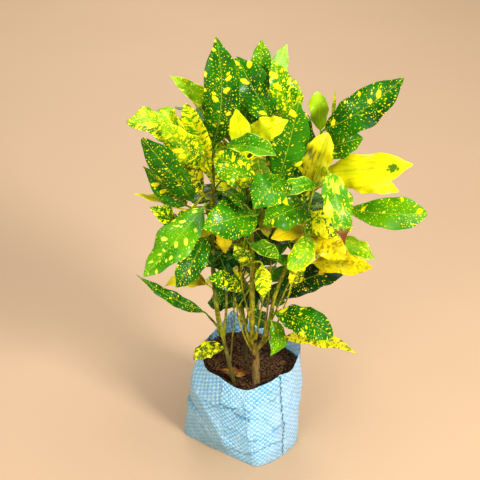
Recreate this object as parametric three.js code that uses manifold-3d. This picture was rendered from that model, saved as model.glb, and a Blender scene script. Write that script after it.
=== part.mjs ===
// A spotted croton in a woven grow bag. Millimetres, +Z up, origin on the bag's flat base under the middle
// of its mouth, -Y is the side with the bag's low lip, +X is to the right of it.
import * as THREE from 'three';
import { mergeVertices } from 'three/addons/utils/BufferGeometryUtils.js';
import Module from 'manifold-3d';

const wasm = await Module();
wasm.setup();

// Bag: the floor's outline and the rim's, each as the same turn of points seen from above,
// from the left corner round the front to the right corner and back behind
const BAG_FLOOR_LINE = [
  [-71, -11], [-46, -31], [-19, -50], [4, -65], [21, -73], [38, -66], [56, -50],
  [72, -26], [68, -4], [44, 18], [14, 36], [-16, 45], [-42, 34], [-62, 13],
];
const BAG_RIM_LINE = [
  [-53, 0, 107], [-41, -24, 110], [-22, -42, 113], [-7, -53, 107], [9, -57, 106],
  [28, -52, 111], [48, -42, 115], [64, -25, 114], [74, 6, 127], [57, 31, 121],
  [28, 53, 117], [-10, 60, 131], [-33, 49, 115], [-45, 28, 111],
];
const BAG_MIDDLE = [0, -10]; // where the floor's triangles meet
const BAG_SWELL = 2.2; // how far the walls belly out at half height
const BAG_WALL = 1.6;
const BAG_FLOOR = 2;
const BAG_SIDES = 42;

// Soil
const SOIL_TOP = 99;
const SOIL_MOUND = 6;
const SOIL_RISE = 11; // up to the bag's back
const SOIL_CLEAR = 0.8;
const SOIL_MIDDLE = [8, 0];

// Stems and leaves
const STEM_CLEAR = 0.4; // between a stem and the soil round it
const LEAF_CLEAR = 0.5; // between a leaf stalk and its stem
const STALK_RADIUS = 1.1;
const STALK_RINGS = 4;
const BLADE_RINGS = 9;
const BLADE_THICK = 1.1; // along the midrib
const GRIP = 0.02; // the share of the blade where the stalk widens

const radians = THREE.MathUtils.degToRad;
const vector = (list) => new THREE.Vector3(...list);

// Each branch is a line of points from its root to its tip, with the radius at both ends.
const BRANCHES = {
  left: {
    points: [[-6, -37, 72], [-8, -36, 103], [-18, -32, 154], [-27, -28, 208], [-31, -25, 254],
      [-30, -21, 305], [-29, -17, 353], [-29, -14, 398]],
    radius: [2.6, 1.7],
  },
  left_low: { points: [[-19, -31, 164], [-28, -30, 182], [-36, -30, 193]], radius: [1.7, 1.4] },
  left_inner: { points: [[-19, -31, 164], [-16, -26, 200], [-16, -22, 234]], radius: [1.7, 1.4] },
  centre: {
    points: [[20, -39, 70], [19, -36, 127], [18, -34, 148], [14, -30, 181], [14, -26, 214],
      [14, -20, 265], [13, -16, 302], [19, -12, 350], [24, -6, 396], [27, 0, 422]],
    radius: [4.4, 1.7],
  },
  right: {
    points: [[18, -34, 146], [26, -32, 158], [32, -31, 172], [35, -30, 191], [40, -27, 219],
      [49, -24, 247], [57, -22, 269], [73, -17, 322], [81, -14, 358], [86, -10, 396]],
    radius: [2.6, 1.6],
  },
  inner: {
    points: [[18, -34, 146], [12, -32, 157], [8, -29, 171], [4, -25, 185], [-4, -18, 203]],
    radius: [2.0, 1.4],
  },
  back: {
    points: [[7, 4, 72], [7, 6, 101], [7, 9, 138], [4, 12, 162], [0, 18, 200], [1, 24, 250],
      [6, 30, 300], [10, 36, 350], [12, 40, 392]],
    radius: [2.8, 1.6],
  },
  back_right: { points: [[1, 23, 240], [14, 32, 270], [30, 42, 305], [40, 48, 340]], radius: [1.9, 1.5] },
};

// How a blade widens and narrows: width goes with t^rise * (1 - t)^fall from its base to its tip.
const OUTLINES = {
  oval: { rise: 0.75, fall: 0.8 },
  lance: { rise: 0.8, fall: 1.15 },
  blunt: { rise: 0.7, fall: 0.5 },
  paddle: { rise: 1.0, fall: 0.55 },
};

const LEAF_COLOURS = {
  dusted: 0x2f8a17,
  splashed: 0x3b9418,
  mottled: 0xa5cc1e,
  gold: 0xf0e010,
  striped: 0xd2d81c,
  lime: 0x7fc414,
  dark: 0x0e4f12,
};

// name, branch, height of the joint on it (or its tip), blade base, blade tip, width,
// bend of the midrib [arched up, swayed to the right of the upper side],
// where the upper side looks [degrees round from -Y to +X, degrees up], fold of each half, outline, colour
const LEAVES = [
  ['left_1', 'left', 396, [-29, -18, 407], [-24, -24, 530], 41, [4, 8], [-4, 12], 14, 'oval', 'splashed'],
  ['left_2', 'left', 388, [-28, -4, 446], [-74, -2, 481], 20, [3, 0], [-15, 45], 16, 'oval', 'mottled'],
  ['left_3', 'left', 372, [-44, -18, 411], [-115, -52, 450], 40, [13, -1], [-25, 55], 10, 'oval', 'mottled'],
  ['left_4', 'left', 384, [-31, -39, 402], [-56, -40, 465], 24, [3, 1], [-20, 20], 20, 'blunt', 'striped'],
  ['left_5', 'left', 362, [-38, -40, 393], [-79, -66, 455], 34, [4, 0], [-15, 35], 16, 'oval', 'mottled'],
  ['left_6', 'left', 340, [-51, -45, 354], [-97, -84, 447], 33, [8, 4], [-20, 40], 12, 'blunt', 'dusted'],
  ['left_7', 'left', 350, [-42, -28, 354], [-74, -46, 424], 30, [4, 0], [10, 25], 12, 'oval', 'splashed'],
  ['left_8', 'left', 330, [-58, -36, 344], [-100, -60, 404], 32, [5, 0], [-15, 35], 12, 'lance', 'mottled'],
  ['left_9', 'left', 322, [-65, -45, 332], [-94, -73, 363], 30, [4, -9], [-20, 55], 10, 'oval', 'mottled'],
  ['left_10', 'left', 316, [-39, -65, 358], [-100, -115, 304], 42, [8, -4], [-18, 40], 12, 'oval', 'splashed'],
  ['left_11', 'left', 276, [-38, -28, 302], [-72, -50, 247], 32, [5, -3], [-15, 20], 12, 'oval', 'dusted'],
  ['left_12', 'left', 228, [-39, -20, 232], [-86, -26, 233], 24, [4, 6], [0, 60], 14, 'lance', 'gold'],
  ['left_13', 'left_low', 'tip', [-42, -30, 200], [-116, -44, 261], 17, [0, -4], [-10, 58], 12, 'lance', 'dusted'],
  ['left_14', 'left', 346, [-22, -39, 362], [3, -88, 369], 18, [7, -2], [20, 80], 16, 'oval', 'dusted'],
  ['left_15', 'left', 290, [-16, -30, 281], [-19, -38, 324], 18, [2, 0], [5, 20], 10, 'blunt', 'gold'],
  ['centre_1', 'centre', 410, [33, -4, 430], [-4, 14, 495], 42, [3, 0], [-5, 25], 12, 'oval', 'splashed'],
  ['centre_2', 'centre', 420, [26, 16, 440], [23, 24, 510], 27, [3, -2], [0, 22], 12, 'oval', 'dusted'],
  ['centre_3', 'centre', 418, [40, 28, 444], [50, 34, 501], 22, [3, -5], [14, 25], 10, 'oval', 'lime'],
  ['centre_4', 'centre', 414, [52, 2, 429], [35, 6, 494], 30, [3, 0], [15, 22], 12, 'oval', 'striped'],
  ['centre_5', 'centre', 396, [6, -46, 408], [-4, -53, 465], 24, [3, 0], [-10, 30], 12, 'oval', 'gold'],
  ['centre_6', 'centre', 384, [5, -32, 423], [49, -54, 453], 28, [5, 3], [10, 45], 12, 'oval', 'gold'],
  ['centre_7', 'left', 390, [-14, -61, 427], [36, -92, 432], 30, [6, 0], [0, 65], 30, 'oval', 'lime'],
  ['centre_8', 'centre', 372, [42, -20, 369], [61, -20, 458], 42, [4, 0], [12, 18], 12, 'oval', 'dusted'],
  ['centre_9', 'centre', 356, [14, -33, 369], [-26, -42, 409], 36, [5, 0], [-12, 38], 10, 'blunt', 'mottled'],
  ['centre_10', 'centre', 364, [46, -50, 385], [14, -100, 376], 42, [8, 0], [-10, 45], 10, 'oval', 'lime'],
  ['centre_11', 'centre', 330, [18, -60, 346], [-38, -100, 353], 46, [8, 0], [0, 45], 10, 'oval', 'splashed'],
  ['centre_12', 'centre', 320, [73, -36, 345], [24, -76, 344], 40, [6, 0], [0, 50], 10, 'oval', 'dusted'],
  ['centre_13', 'centre', 300, [72, -32, 314], [33, -62, 318], 22, [3, 0], [0, 55], 10, 'oval', 'gold'],
  ['centre_14', 'centre', 296, [11, -50, 305], [41, -84, 306], 20, [3, -2], [0, 60], 14, 'oval', 'striped'],
  ['centre_15', 'centre', 262, [25, -32, 266], [27, -46, 231], 20, [2, 0], [0, 10], 10, 'oval', 'striped'],
  ['centre_16', 'inner', 199, [10, -16, 228], [-36, -50, 260], 27, [4, 0], [0, 45], 12, 'oval', 'mottled'],
  ['right_1', 'right', 388, [88, 14, 410], [82, 20, 453], 22, [2, 0], [10, 15], 8, 'blunt', 'lime'],
  ['right_2', 'right', 'tip', [90, -8, 421], [166, -30, 489], 42, [5, 6], [0, 42], 12, 'oval', 'dusted'],
  ['right_3', 'right', 378, [90, -6, 394], [130, -22, 418], 36, [4, 0], [0, 50], 12, 'oval', 'dusted'],
  ['right_4', 'right', 366, [74, -21, 361], [92, -27, 426], 32, [4, 0], [-10, 25], 16, 'blunt', 'gold'],
  ['right_5', 'right', 360, [89, -14, 373], [179, -58, 405], 42, [6, 4], [5, 50], 10, 'oval', 'gold'],
  ['right_6', 'right', 352, [102, -16, 366], [171, -36, 361], 30, [5, -2], [5, 55], 10, 'oval', 'gold'],
  ['right_7', 'right', 330, [115, -34, 339], [197, -66, 351], 39, [5, 5], [5, 50], 12, 'paddle', 'dusted'],
  ['right_8', 'right', 331, [92, -53, 393], [109, -93, 329], 34, [5, 0], [20, 25], 14, 'lance', 'striped'],
  ['right_9', 'right', 352, [80, -46, 376], [41, -62, 374], 22, [4, 0], [0, 60], 20, 'oval', 'dusted'],
  ['right_10', 'right', 322, [71, -50, 319], [50, -92, 299], 27, [4, -8], [0, 40], 12, 'blunt', 'lime'],
  ['right_11', 'right', 286, [76, -42, 312], [114, -78, 302], 32, [4, 0], [8, 42], 12, 'oval', 'gold'],
  ['right_12', 'right', 314, [112, -36, 305], [147, -58, 290], 22, [4, 2], [5, 55], 12, 'oval', 'lime'],
  ['right_13', 'right', 256, [83, -20, 261], [148, -42, 268], 30, [4, 0], [0, 58], 12, 'oval', 'gold'],
  ['right_14', 'right', 208, [42, -22, 212], [128, -10, 243], 36, [5, -9], [0, 48], 12, 'oval', 'dark'],
  ['right_15', 'right', 196, [40, -44, 209], [103, -82, 202], 37, [6, -3], [5, 48], 12, 'blunt', 'dusted'],
  ['right_16', 'right', 160, [52, -18, 154], [138, -50, 153], 24, [6, -7], [0, 66], 12, 'lance', 'striped'],
  ['low_1', 'left', 140, [-19, -24, 143], [-56, -28, 128], 22, [4, 5], [-10, 60], 10, 'oval', 'mottled'],
  ['low_2', 'right', 180, [36, -48, 200], [35, -66, 164], 22, [2, -8], [25, 20], 10, 'oval', 'lime'],
  ['back_1', 'back', 388, [14, 56, 404], [30, 132, 440], 42, [6, 0], [180, 50], 12, 'oval', 'splashed'],
  ['back_2', 'back', 368, [-6, 50, 376], [-76, 96, 402], 42, [6, 0], [-150, 50], 12, 'oval', 'dusted'],
  ['back_3', 'back_right', 336, [54, 58, 348], [128, 96, 372], 42, [6, 0], [150, 50], 12, 'oval', 'dusted'],
  ['back_4', 'back', 330, [2, 50, 336], [-34, 136, 330], 44, [8, 0], [-170, 55], 12, 'oval', 'splashed'],
  ['back_5', 'back_right', 320, [44, 66, 318], [70, 142, 300], 44, [8, 0], [170, 50], 12, 'oval', 'mottled'],
];

// A dry leaf that lies on the soil behind the left stem: the end of its stalk, then as in the rows above.
const FALLEN_ROOT = [-29, -20, 107];
const FALLEN_BLADE = [[-23, -20, 107.5], [12, -25, 107.5], 15, [2, 3], [0, 75], 20, 'oval'];

// A closed body with its doubled corners merged and only its positions kept.
function bare(geometry) {
  geometry.deleteAttribute('normal');
  geometry.deleteAttribute('uv');
  return mergeVertices(geometry, 1e-4);
}

function toSolid(geometry) {
  const merged = bare(geometry);
  const vertProperties = new Float32Array(merged.attributes.position.array);
  const triVerts = new Uint32Array(merged.index.array);
  return new wasm.Manifold(new wasm.Mesh({ numProp: 3, vertProperties, triVerts }));
}

function fromSolid(solid) {
  const mesh = solid.getMesh();
  const geometry = new THREE.BufferGeometry();
  geometry.setAttribute('position', new THREE.BufferAttribute(mesh.vertProperties, 3));
  geometry.setIndex(new THREE.BufferAttribute(mesh.triVerts, 1));
  return geometry;
}

// Moves every vertex of a geometry to where `place` puts it.
function reshape(geometry, place) {
  const position = geometry.attributes.position;
  const point = new THREE.Vector3();
  for (let i = 0; i < position.count; i += 1) {
    point.fromBufferAttribute(position, i);
    const moved = place(point, i);
    position.setXYZ(i, moved.x, moved.y, moved.z);
  }
  return geometry;
}

// A tapering rod along a smooth line through the points.
function rod(points, [rootRadius, tipRadius], extra = 0, sides = 8) {
  const curve = new THREE.CatmullRomCurve3(points.map(vector), false, 'centripetal');
  const steps = 2 * (points.length - 1);
  const frames = curve.computeFrenetFrames(steps, false);
  const cylinder = new THREE.CylinderGeometry(1, 1, 1, sides, steps);
  return reshape(cylinder, (p) => {
    const along = p.y + 0.5;
    const row = Math.round(along * steps);
    const radius = THREE.MathUtils.lerp(rootRadius, tipRadius, along) + extra;
    return curve.getPointAt(along)
      .addScaledVector(frames.normals[row], p.x * radius)
      .addScaledVector(frames.binormals[row], -p.z * radius);
  });
}

// `extra` makes it thicker and longer at its foot by that much, for the hole it stands in.
function branchRod(name, extra = 0) {
  const { points: [[x, y, z], ...rest], radius } = BRANCHES[name];
  return toSolid(rod([[x, y, z - extra], ...rest], radius, extra));
}

// Where a branch passes a height, or its tip: its axis point, its direction and its radius.
function onBranch(name, height) {
  const branch = BRANCHES[name];
  const curve = new THREE.CatmullRomCurve3(branch.points.map(vector), false, 'centripetal');
  let low = height === 'tip' ? 1 : 0;
  let high = 1;
  for (let i = 0; i < 30; i += 1) {
    const middle = (low + high) / 2;
    if (curve.getPointAt(middle).z < height) low = middle;
    else high = middle;
  }
  return {
    point: curve.getPointAt(low),
    direction: curve.getTangentAt(low),
    radius: THREE.MathUtils.lerp(...branch.radius, low),
  };
}

// A direction `around` degrees round from -Y toward +X and `up` degrees above level.
function compass([around, up]) {
  const flat = Math.cos(radians(up));
  return new THREE.Vector3(
    flat * Math.sin(radians(around)),
    -flat * Math.cos(radians(around)),
    Math.sin(radians(up)),
  );
}

// The share of its full width that a blade has at the share `t` of its length.
function bladeWidth(outline, t) {
  const { rise, fall } = OUTLINES[outline];
  const widest = rise / (rise + fall);
  return (t ** rise * (1 - t) ** fall) / (widest ** rise * (1 - widest) ** fall);
}

// Where a leaf's stalk starts beside its branch, which way it leaves, and which way the branch runs there.
function leafRoot(branch, joint, base) {
  const stem = onBranch(branch, joint);
  if (joint === 'tip') {
    const root = stem.point.clone().addScaledVector(stem.direction, LEAF_CLEAR);
    return { root, away: stem.direction, upward: stem.direction };
  }
  const away = vector(base).sub(stem.point);
  away.addScaledVector(stem.direction, -away.dot(stem.direction)).normalize();
  const root = stem.point.clone().addScaledVector(away, stem.radius + LEAF_CLEAR);
  return { root, away, upward: stem.direction };
}

// One leaf, stalk and blade in a single body: rings of four corners (left edge, top, right edge, underside)
// run from a point at its root, along the stalk and the midrib, to a point at the tip.
function leafGeometry({ root, away, upward }, base, tip, width, [arch, sway], face, fold, outline) {
  const start = vector(base);
  const chord = vector(tip).sub(start);
  const length = chord.length();
  const along = chord.clone().normalize();
  const side = new THREE.Vector3().crossVectors(along, compass(face)).normalize();
  const normal = new THREE.Vector3().crossVectors(side, along);
  const reach = root.distanceTo(start);
  const bend = normal.clone().multiplyScalar(arch).addScaledVector(side, sway);
  const midrib = (t) => start.clone()
    .addScaledVector(along, length * t)
    .addScaledVector(bend, 4 * t * (1 - t));
  const heading = (t) => along.clone().multiplyScalar(length).addScaledVector(bend, 4 - 8 * t).normalize();
  const stalk = new THREE.CubicBezierCurve3(
    root,
    root.clone().addScaledVector(away, Math.min(4, reach * 0.3)).addScaledVector(upward, reach * 0.15),
    start.clone().addScaledVector(heading(0), -reach * 0.35),
    start,
  );

  const rings = STALK_RINGS + BLADE_RINGS;
  const lift = radians(fold);
  const ring = (row) => {
    if (row <= STALK_RINGS) {
      const u = row / STALK_RINGS;
      const centre = stalk.getPoint(u);
      const tangent = stalk.getTangent(u);
      const flat = side.clone().addScaledVector(tangent, -side.dot(tangent)).normalize();
      const top = new THREE.Vector3().crossVectors(flat, tangent);
      const radius = row === 0 ? 0 : STALK_RADIUS;
      return { centre, left: flat, right: flat, top, half: radius, thick: radius };
    }
    const t = THREE.MathUtils.lerp(GRIP, 1, (row - STALK_RINGS - 1) / (BLADE_RINGS - 1));
    const tangent = heading(t);
    const across = side.clone().addScaledVector(tangent, -side.dot(tangent)).normalize();
    const top = new THREE.Vector3().crossVectors(across, tangent);
    const left = across.clone().multiplyScalar(Math.cos(lift)).addScaledVector(top, -Math.sin(lift));
    const right = across.clone().multiplyScalar(Math.cos(lift)).addScaledVector(top, Math.sin(lift));
    const half = row === rings ? 0 : Math.max(STALK_RADIUS, (width / 2) * bladeWidth(outline, t));
    return { centre: midrib(t), left, right, top, half, thick: row === rings ? 0 : BLADE_THICK / 2 };
  };
  const made = Array.from({ length: rings + 1 }, (_, row) => ring(row));
  const ball = new THREE.SphereGeometry(1, 4, rings);
  return reshape(ball, (_, i) => {
    const { centre, left, right, top, half, thick } = made[Math.floor(i / 5)];
    const corners = [[left, -half], [top, -thick], [right, half], [top, thick]];
    const [direction, distance] = corners[(i % 5) % 4];
    return centre.clone().addScaledVector(direction, distance);
  });
}

const closedLine = (points) => new THREE.CatmullRomCurve3(
  points.map(([x, y, z = 0]) => new THREE.Vector3(x, y, z)),
  true,
);
const bagFloorLine = closedLine(BAG_FLOOR_LINE);
const bagRimLine = closedLine(BAG_RIM_LINE);

// A point of the bag's wall: `turn` runs once round from the left corner, `level` from 0 at the floor to 1
// at the rim, and `inset` draws it in from the outside.
function bagPoint(turn, level, inset) {
  const low = bagFloorLine.getPoint(turn);
  const high = bagRimLine.getPoint(turn);
  const heading = bagFloorLine.getTangent(turn).lerp(bagRimLine.getTangent(turn), level);
  const outward = new THREE.Vector3(heading.y, -heading.x, 0).normalize();
  const point = low.lerp(high, level).addScaledVector(outward, BAG_SWELL * Math.sin(Math.PI * level) - inset);
  point.z = high.z * level;
  return point;
}

// A closed round body of `rows` rings, the first and the last of them points, moved to where `place` puts
// each ring's vertices: `turn` runs round as the bag's lines do.
function wrap(rows, place) {
  const profile = Array.from({ length: rows }, (_, row) => new THREE.Vector2(row % (rows - 1) ? 1 : 0, row));
  return reshape(new THREE.LatheGeometry(profile, BAG_SIDES), (_, i) => {
    const turn = (Math.floor(i / rows) % BAG_SIDES) / BAG_SIDES;
    return place(turn, i % rows);
  });
}

function bagGeometry() {
  const levels = [0, 0.04, 0.25, 0.5, 0.75, 1]; // up the outside, then down the inside
  const count = levels.length;
  return wrap(2 * count + 2, (turn, row) => {
    if (row === 0) return new THREE.Vector3(...BAG_MIDDLE, 0);
    if (row === 2 * count + 1) return new THREE.Vector3(...BAG_MIDDLE, BAG_FLOOR);
    if (row <= count) return bagPoint(turn, levels[row - 1], 0);
    const point = bagPoint(turn, levels[2 * count - row], BAG_WALL);
    point.z = Math.max(point.z, BAG_FLOOR);
    return point;
  });
}

function soilHeight(turn, share) {
  const angle = 2 * Math.PI * turn;
  const lumps = 1.2 * Math.sin(5 * angle + 4 * share) + 0.9 * Math.sin(9 * angle - 7 * share);
  const rise = SOIL_RISE * share ** 2 * Math.max(0, -Math.sin(angle));
  return SOIL_TOP + SOIL_MOUND * (1 - share ** 2) + lumps * share + rise;
}

function soilGeometry() {
  const bottom = BAG_FLOOR + SOIL_CLEAR;
  const [x, y] = SOIL_MIDDLE;
  // share of the height and of the radius
  const rings = [[0, 1], [0.3, 1], [0.6, 1], [1, 1], [1, 0.8], [1, 0.55], [1, 0.3]];
  return wrap(rings.length + 2, (turn, row) => {
    if (row === 0) return new THREE.Vector3(...BAG_MIDDLE, bottom);
    if (row > rings.length) return new THREE.Vector3(x, y, SOIL_TOP + SOIL_MOUND);
    const [up, share] = rings[row - 1];
    const z = THREE.MathUtils.lerp(bottom, soilHeight(turn, share), up);
    const wall = bagPoint(turn, z / bagRimLine.getPoint(turn).z, BAG_WALL + SOIL_CLEAR);
    return new THREE.Vector3(x, y, z).lerp(wall.setZ(z), share);
  });
}

const plant = new THREE.Group();

function add(name, geometry, colour, roughness) {
  const material = new THREE.MeshStandardMaterial({ color: colour, roughness, metalness: 0 });
  const mesh = new THREE.Mesh(geometry, material);
  mesh.name = name;
  plant.add(mesh);
}

const STEMS = {
  left_stem: { branches: ['left', 'left_low', 'left_inner'], colour: 0x7d8420 },
  front_stem: { branches: ['centre', 'right', 'inner'], colour: 0x8a7a3c },
  back_stem: { branches: ['back', 'back_right'], colour: 0x5c6420 },
};

let soil = toSolid(soilGeometry());
for (const [name, { branches, colour }] of Object.entries(STEMS)) {
  const [trunk, ...forks] = branches.map((branch) => branchRod(branch));
  const whole = forks.reduce((joined, fork) => joined.add(fork), trunk);
  add(name, fromSolid(whole), colour, 0.6);
  soil = soil.subtract(branchRod(branches[0], STEM_CLEAR));
}
add('bag', bagGeometry(), 0x9fd0e8, 0.55);
add('soil', fromSolid(soil), 0x33221a, 0.95);

for (const [name, branch, joint, base, ...blade] of LEAVES) {
  const colour = LEAF_COLOURS[blade.pop()];
  add(`leaf_${name}`, leafGeometry(leafRoot(branch, joint, base), base, ...blade), colour, 0.35);
}
const fallenRoot = { root: vector(FALLEN_ROOT), away: compass([90, 0]), upward: compass([0, 90]) };
add('fallen_leaf', leafGeometry(fallenRoot, ...FALLEN_BLADE), 0x9a5a22, 0.8);

export default plant;
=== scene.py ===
"""The looks of a spotted croton in a woven grow bag. Metres, +Z up, the bag's low lip toward -Y."""
import math
import random

import bpy
from mathutils import Matrix, Vector, noise


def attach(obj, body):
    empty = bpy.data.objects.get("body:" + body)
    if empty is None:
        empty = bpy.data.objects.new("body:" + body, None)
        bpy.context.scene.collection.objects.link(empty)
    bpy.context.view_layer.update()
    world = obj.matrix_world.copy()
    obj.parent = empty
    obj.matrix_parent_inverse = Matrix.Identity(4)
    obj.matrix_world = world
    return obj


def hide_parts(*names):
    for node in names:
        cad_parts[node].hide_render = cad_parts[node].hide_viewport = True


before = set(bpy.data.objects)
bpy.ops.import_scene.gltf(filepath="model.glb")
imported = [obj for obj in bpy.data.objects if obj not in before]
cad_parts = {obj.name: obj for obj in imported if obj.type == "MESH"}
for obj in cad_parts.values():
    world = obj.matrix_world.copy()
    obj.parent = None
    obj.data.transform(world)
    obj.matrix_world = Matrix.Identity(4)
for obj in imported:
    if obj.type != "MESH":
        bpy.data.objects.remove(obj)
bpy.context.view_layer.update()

MM = 0.001  # the tables below are in millimetres
TURN = 2 * math.pi

CAMERA_PLACE = (0, -1.0, 0.88)
CAMERA_DOWN = 31  # degrees below level
CAMERA_LENS = 76.5
CAMERA_FILM = 36
PICTURE_SIDE = 480  # pixels

# The bag's floor outline and its rim, from the left corner round the front to the right and back behind.
BAG_FLOOR_LINE = [
    (-71, -11, 0), (-46, -31, 0), (-19, -50, 0), (4, -65, 0), (21, -73, 0), (38, -66, 0), (56, -50, 0),
    (72, -26, 0), (68, -4, 0), (44, 18, 0), (14, 36, 0), (-16, 45, 0), (-42, 34, 0), (-62, 13, 0),
]
BAG_RIM_LINE = [
    (-53, 0, 107), (-41, -24, 110), (-22, -42, 113), (-7, -53, 107), (9, -57, 106), (28, -52, 111),
    (48, -42, 115), (64, -25, 114), (74, 6, 127), (57, 31, 121), (28, 53, 117), (-10, 60, 131),
    (-33, 49, 115), (-45, 28, 111),
]
BAG_MIDDLE = (0, -10, 0)
BAG_SWELL = 2.2
BAG_CLOTH = 0.7  # thickness
TAPE = 3.6  # width of one woven tape

SOIL_TOP = 99
SOIL_MOUND = 6
SOIL_RISE = 11  # up to the bag's back
SOIL_GAP = 1.3  # between the bag's outside and the soil
SOIL_MIDDLE = (8, 0, 0)

# Each branch: the points it runs through, and its radius at both ends.
BRANCHES = {
    "left": ([(-6, -37, 72), (-8, -36, 103), (-18, -32, 154), (-27, -28, 208), (-31, -25, 254),
              (-30, -21, 305), (-29, -17, 353), (-29, -14, 398)], 2.6, 1.7),
    "left_low": ([(-19, -31, 164), (-28, -30, 182), (-36, -30, 193)], 1.7, 1.4),
    "left_inner": ([(-19, -31, 164), (-16, -26, 200), (-16, -22, 234)], 1.7, 1.4),
    "centre": ([(20, -39, 70), (19, -36, 127), (18, -34, 148), (14, -30, 181), (14, -26, 214),
                (14, -20, 265), (13, -16, 302), (19, -12, 350), (24, -6, 396), (27, 0, 422)], 4.4, 1.7),
    "right": ([(18, -34, 146), (26, -32, 158), (32, -31, 172), (35, -30, 191), (40, -27, 219),
               (49, -24, 247), (57, -22, 269), (73, -17, 322), (81, -14, 358), (86, -10, 396)], 2.6, 1.6),
    "inner": ([(18, -34, 146), (12, -32, 157), (8, -29, 171), (4, -25, 185), (-4, -18, 203)], 2.0, 1.4),
    "back": ([(7, 4, 72), (7, 6, 101), (7, 9, 138), (4, 12, 162), (0, 18, 200), (1, 24, 250),
              (6, 30, 300), (10, 36, 350), (12, 40, 392)], 2.8, 1.6),
    "back_right": ([(1, 23, 240), (14, 32, 270), (30, 42, 305), (40, 48, 340)], 1.9, 1.5),
}
# The trunk's thicker foot and its knob, two buds, and the slim side shoots that carry small inner leaves.
SHOOTS = {
    "trunk": ([(20, -39, 72), (19, -36, 127), (18.4, -34.4, 146)], 5.2, 4.2),
    "trunk_knob": ([(6, -28, 179), (4, -29, 184), (2, -29, 188)], 2.4, 3.2),
    "trunk_bud": ([(4, -27, 186), (0, -28, 190), (-3, -29, 194)], 2.6, 1.4),
    "left_bud": ([(-20, -31, 166), (-24, -32, 170), (-26, -33, 175)], 2.2, 1.4),
    "left_shoot": ([(-16, -33, 143), (-20, -36, 165), (-27, -36, 196), (-30, -38, 238)], 1.2, 0.9),
    "left_twig": ([(-12, -35, 122), (-10, -30, 150), (-7, -24, 190), (-8, -20, 232)], 1.1, 0.9),
    "front_shoot": ([(17, -34, 150), (21, -34, 180), (26, -33, 222), (27, -30, 262)], 1.5, 1.0),
    "front_twig": ([(14, -30, 180), (8, -30, 205), (2, -30, 240), (0, -30, 275)], 1.1, 0.9),
    "front_left_shoot": ([(18, -35, 142), (10, -38, 158), (0, -40, 190), (-6, -40, 228)], 1.2, 0.9),
    "right_low_shoot": ([(22, -35, 150), (34, -36, 168), (46, -36, 196), (56, -34, 228)], 1.2, 0.9),
    "right_shoot": ([(33, -31, 178), (42, -33, 205), (54, -33, 238), (64, -31, 268)], 1.2, 0.9),
    "right_twig": ([(26, -32, 158), (31, -27, 190), (34, -20, 235), (36, -12, 280)], 1.3, 0.9),
    "back_shoot": ([(6, 11, 146), (12, 10, 180), (20, 8, 225), (24, 4, 270)], 1.4, 1.0),
    "back_twig": ([(3, 14, 170), (-8, 14, 200), (-18, 12, 240), (-22, 10, 285)], 1.3, 0.9),
}
STEMS = {
    "left_stem": (["left", "left_low", "left_inner", "left_shoot", "left_twig", "left_bud"], "stem_green"),
    "front_stem": (["centre", "right", "inner", "trunk", "trunk_knob", "trunk_bud", "front_shoot",
                    "front_twig", "front_left_shoot", "right_low_shoot", "right_shoot", "right_twig"],
                   "stem_bark"),
    "back_stem": (["back", "back_right", "back_shoot", "back_twig"], "stem_olive"),
}

# How a blade widens and narrows: width goes with t**rise * (1 - t)**fall from its base to its tip.
OUTLINES = {"oval": (0.75, 0.8), "lance": (0.8, 1.15), "blunt": (0.7, 0.5), "paddle": (1.0, 0.55)}


def leaf_rows(table):
    """Each line's name, branch and joint, the numbers in their groups, and its look and outline."""
    rows = []
    for line in table.strip().splitlines():
        name, branch, joint, *rest = line.split()
        numbers = [float(number) for number in rest[:12]]
        base, tip, width, bend, face, fold = (numbers[:3], numbers[3:6], numbers[6], numbers[7:9],
                                              numbers[9:11], numbers[11])
        joint = joint if joint == "tip" else float(joint)
        rows.append((name, branch, joint, base, tip, width, bend, face, fold, *rest[12:]))
    return rows


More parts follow.
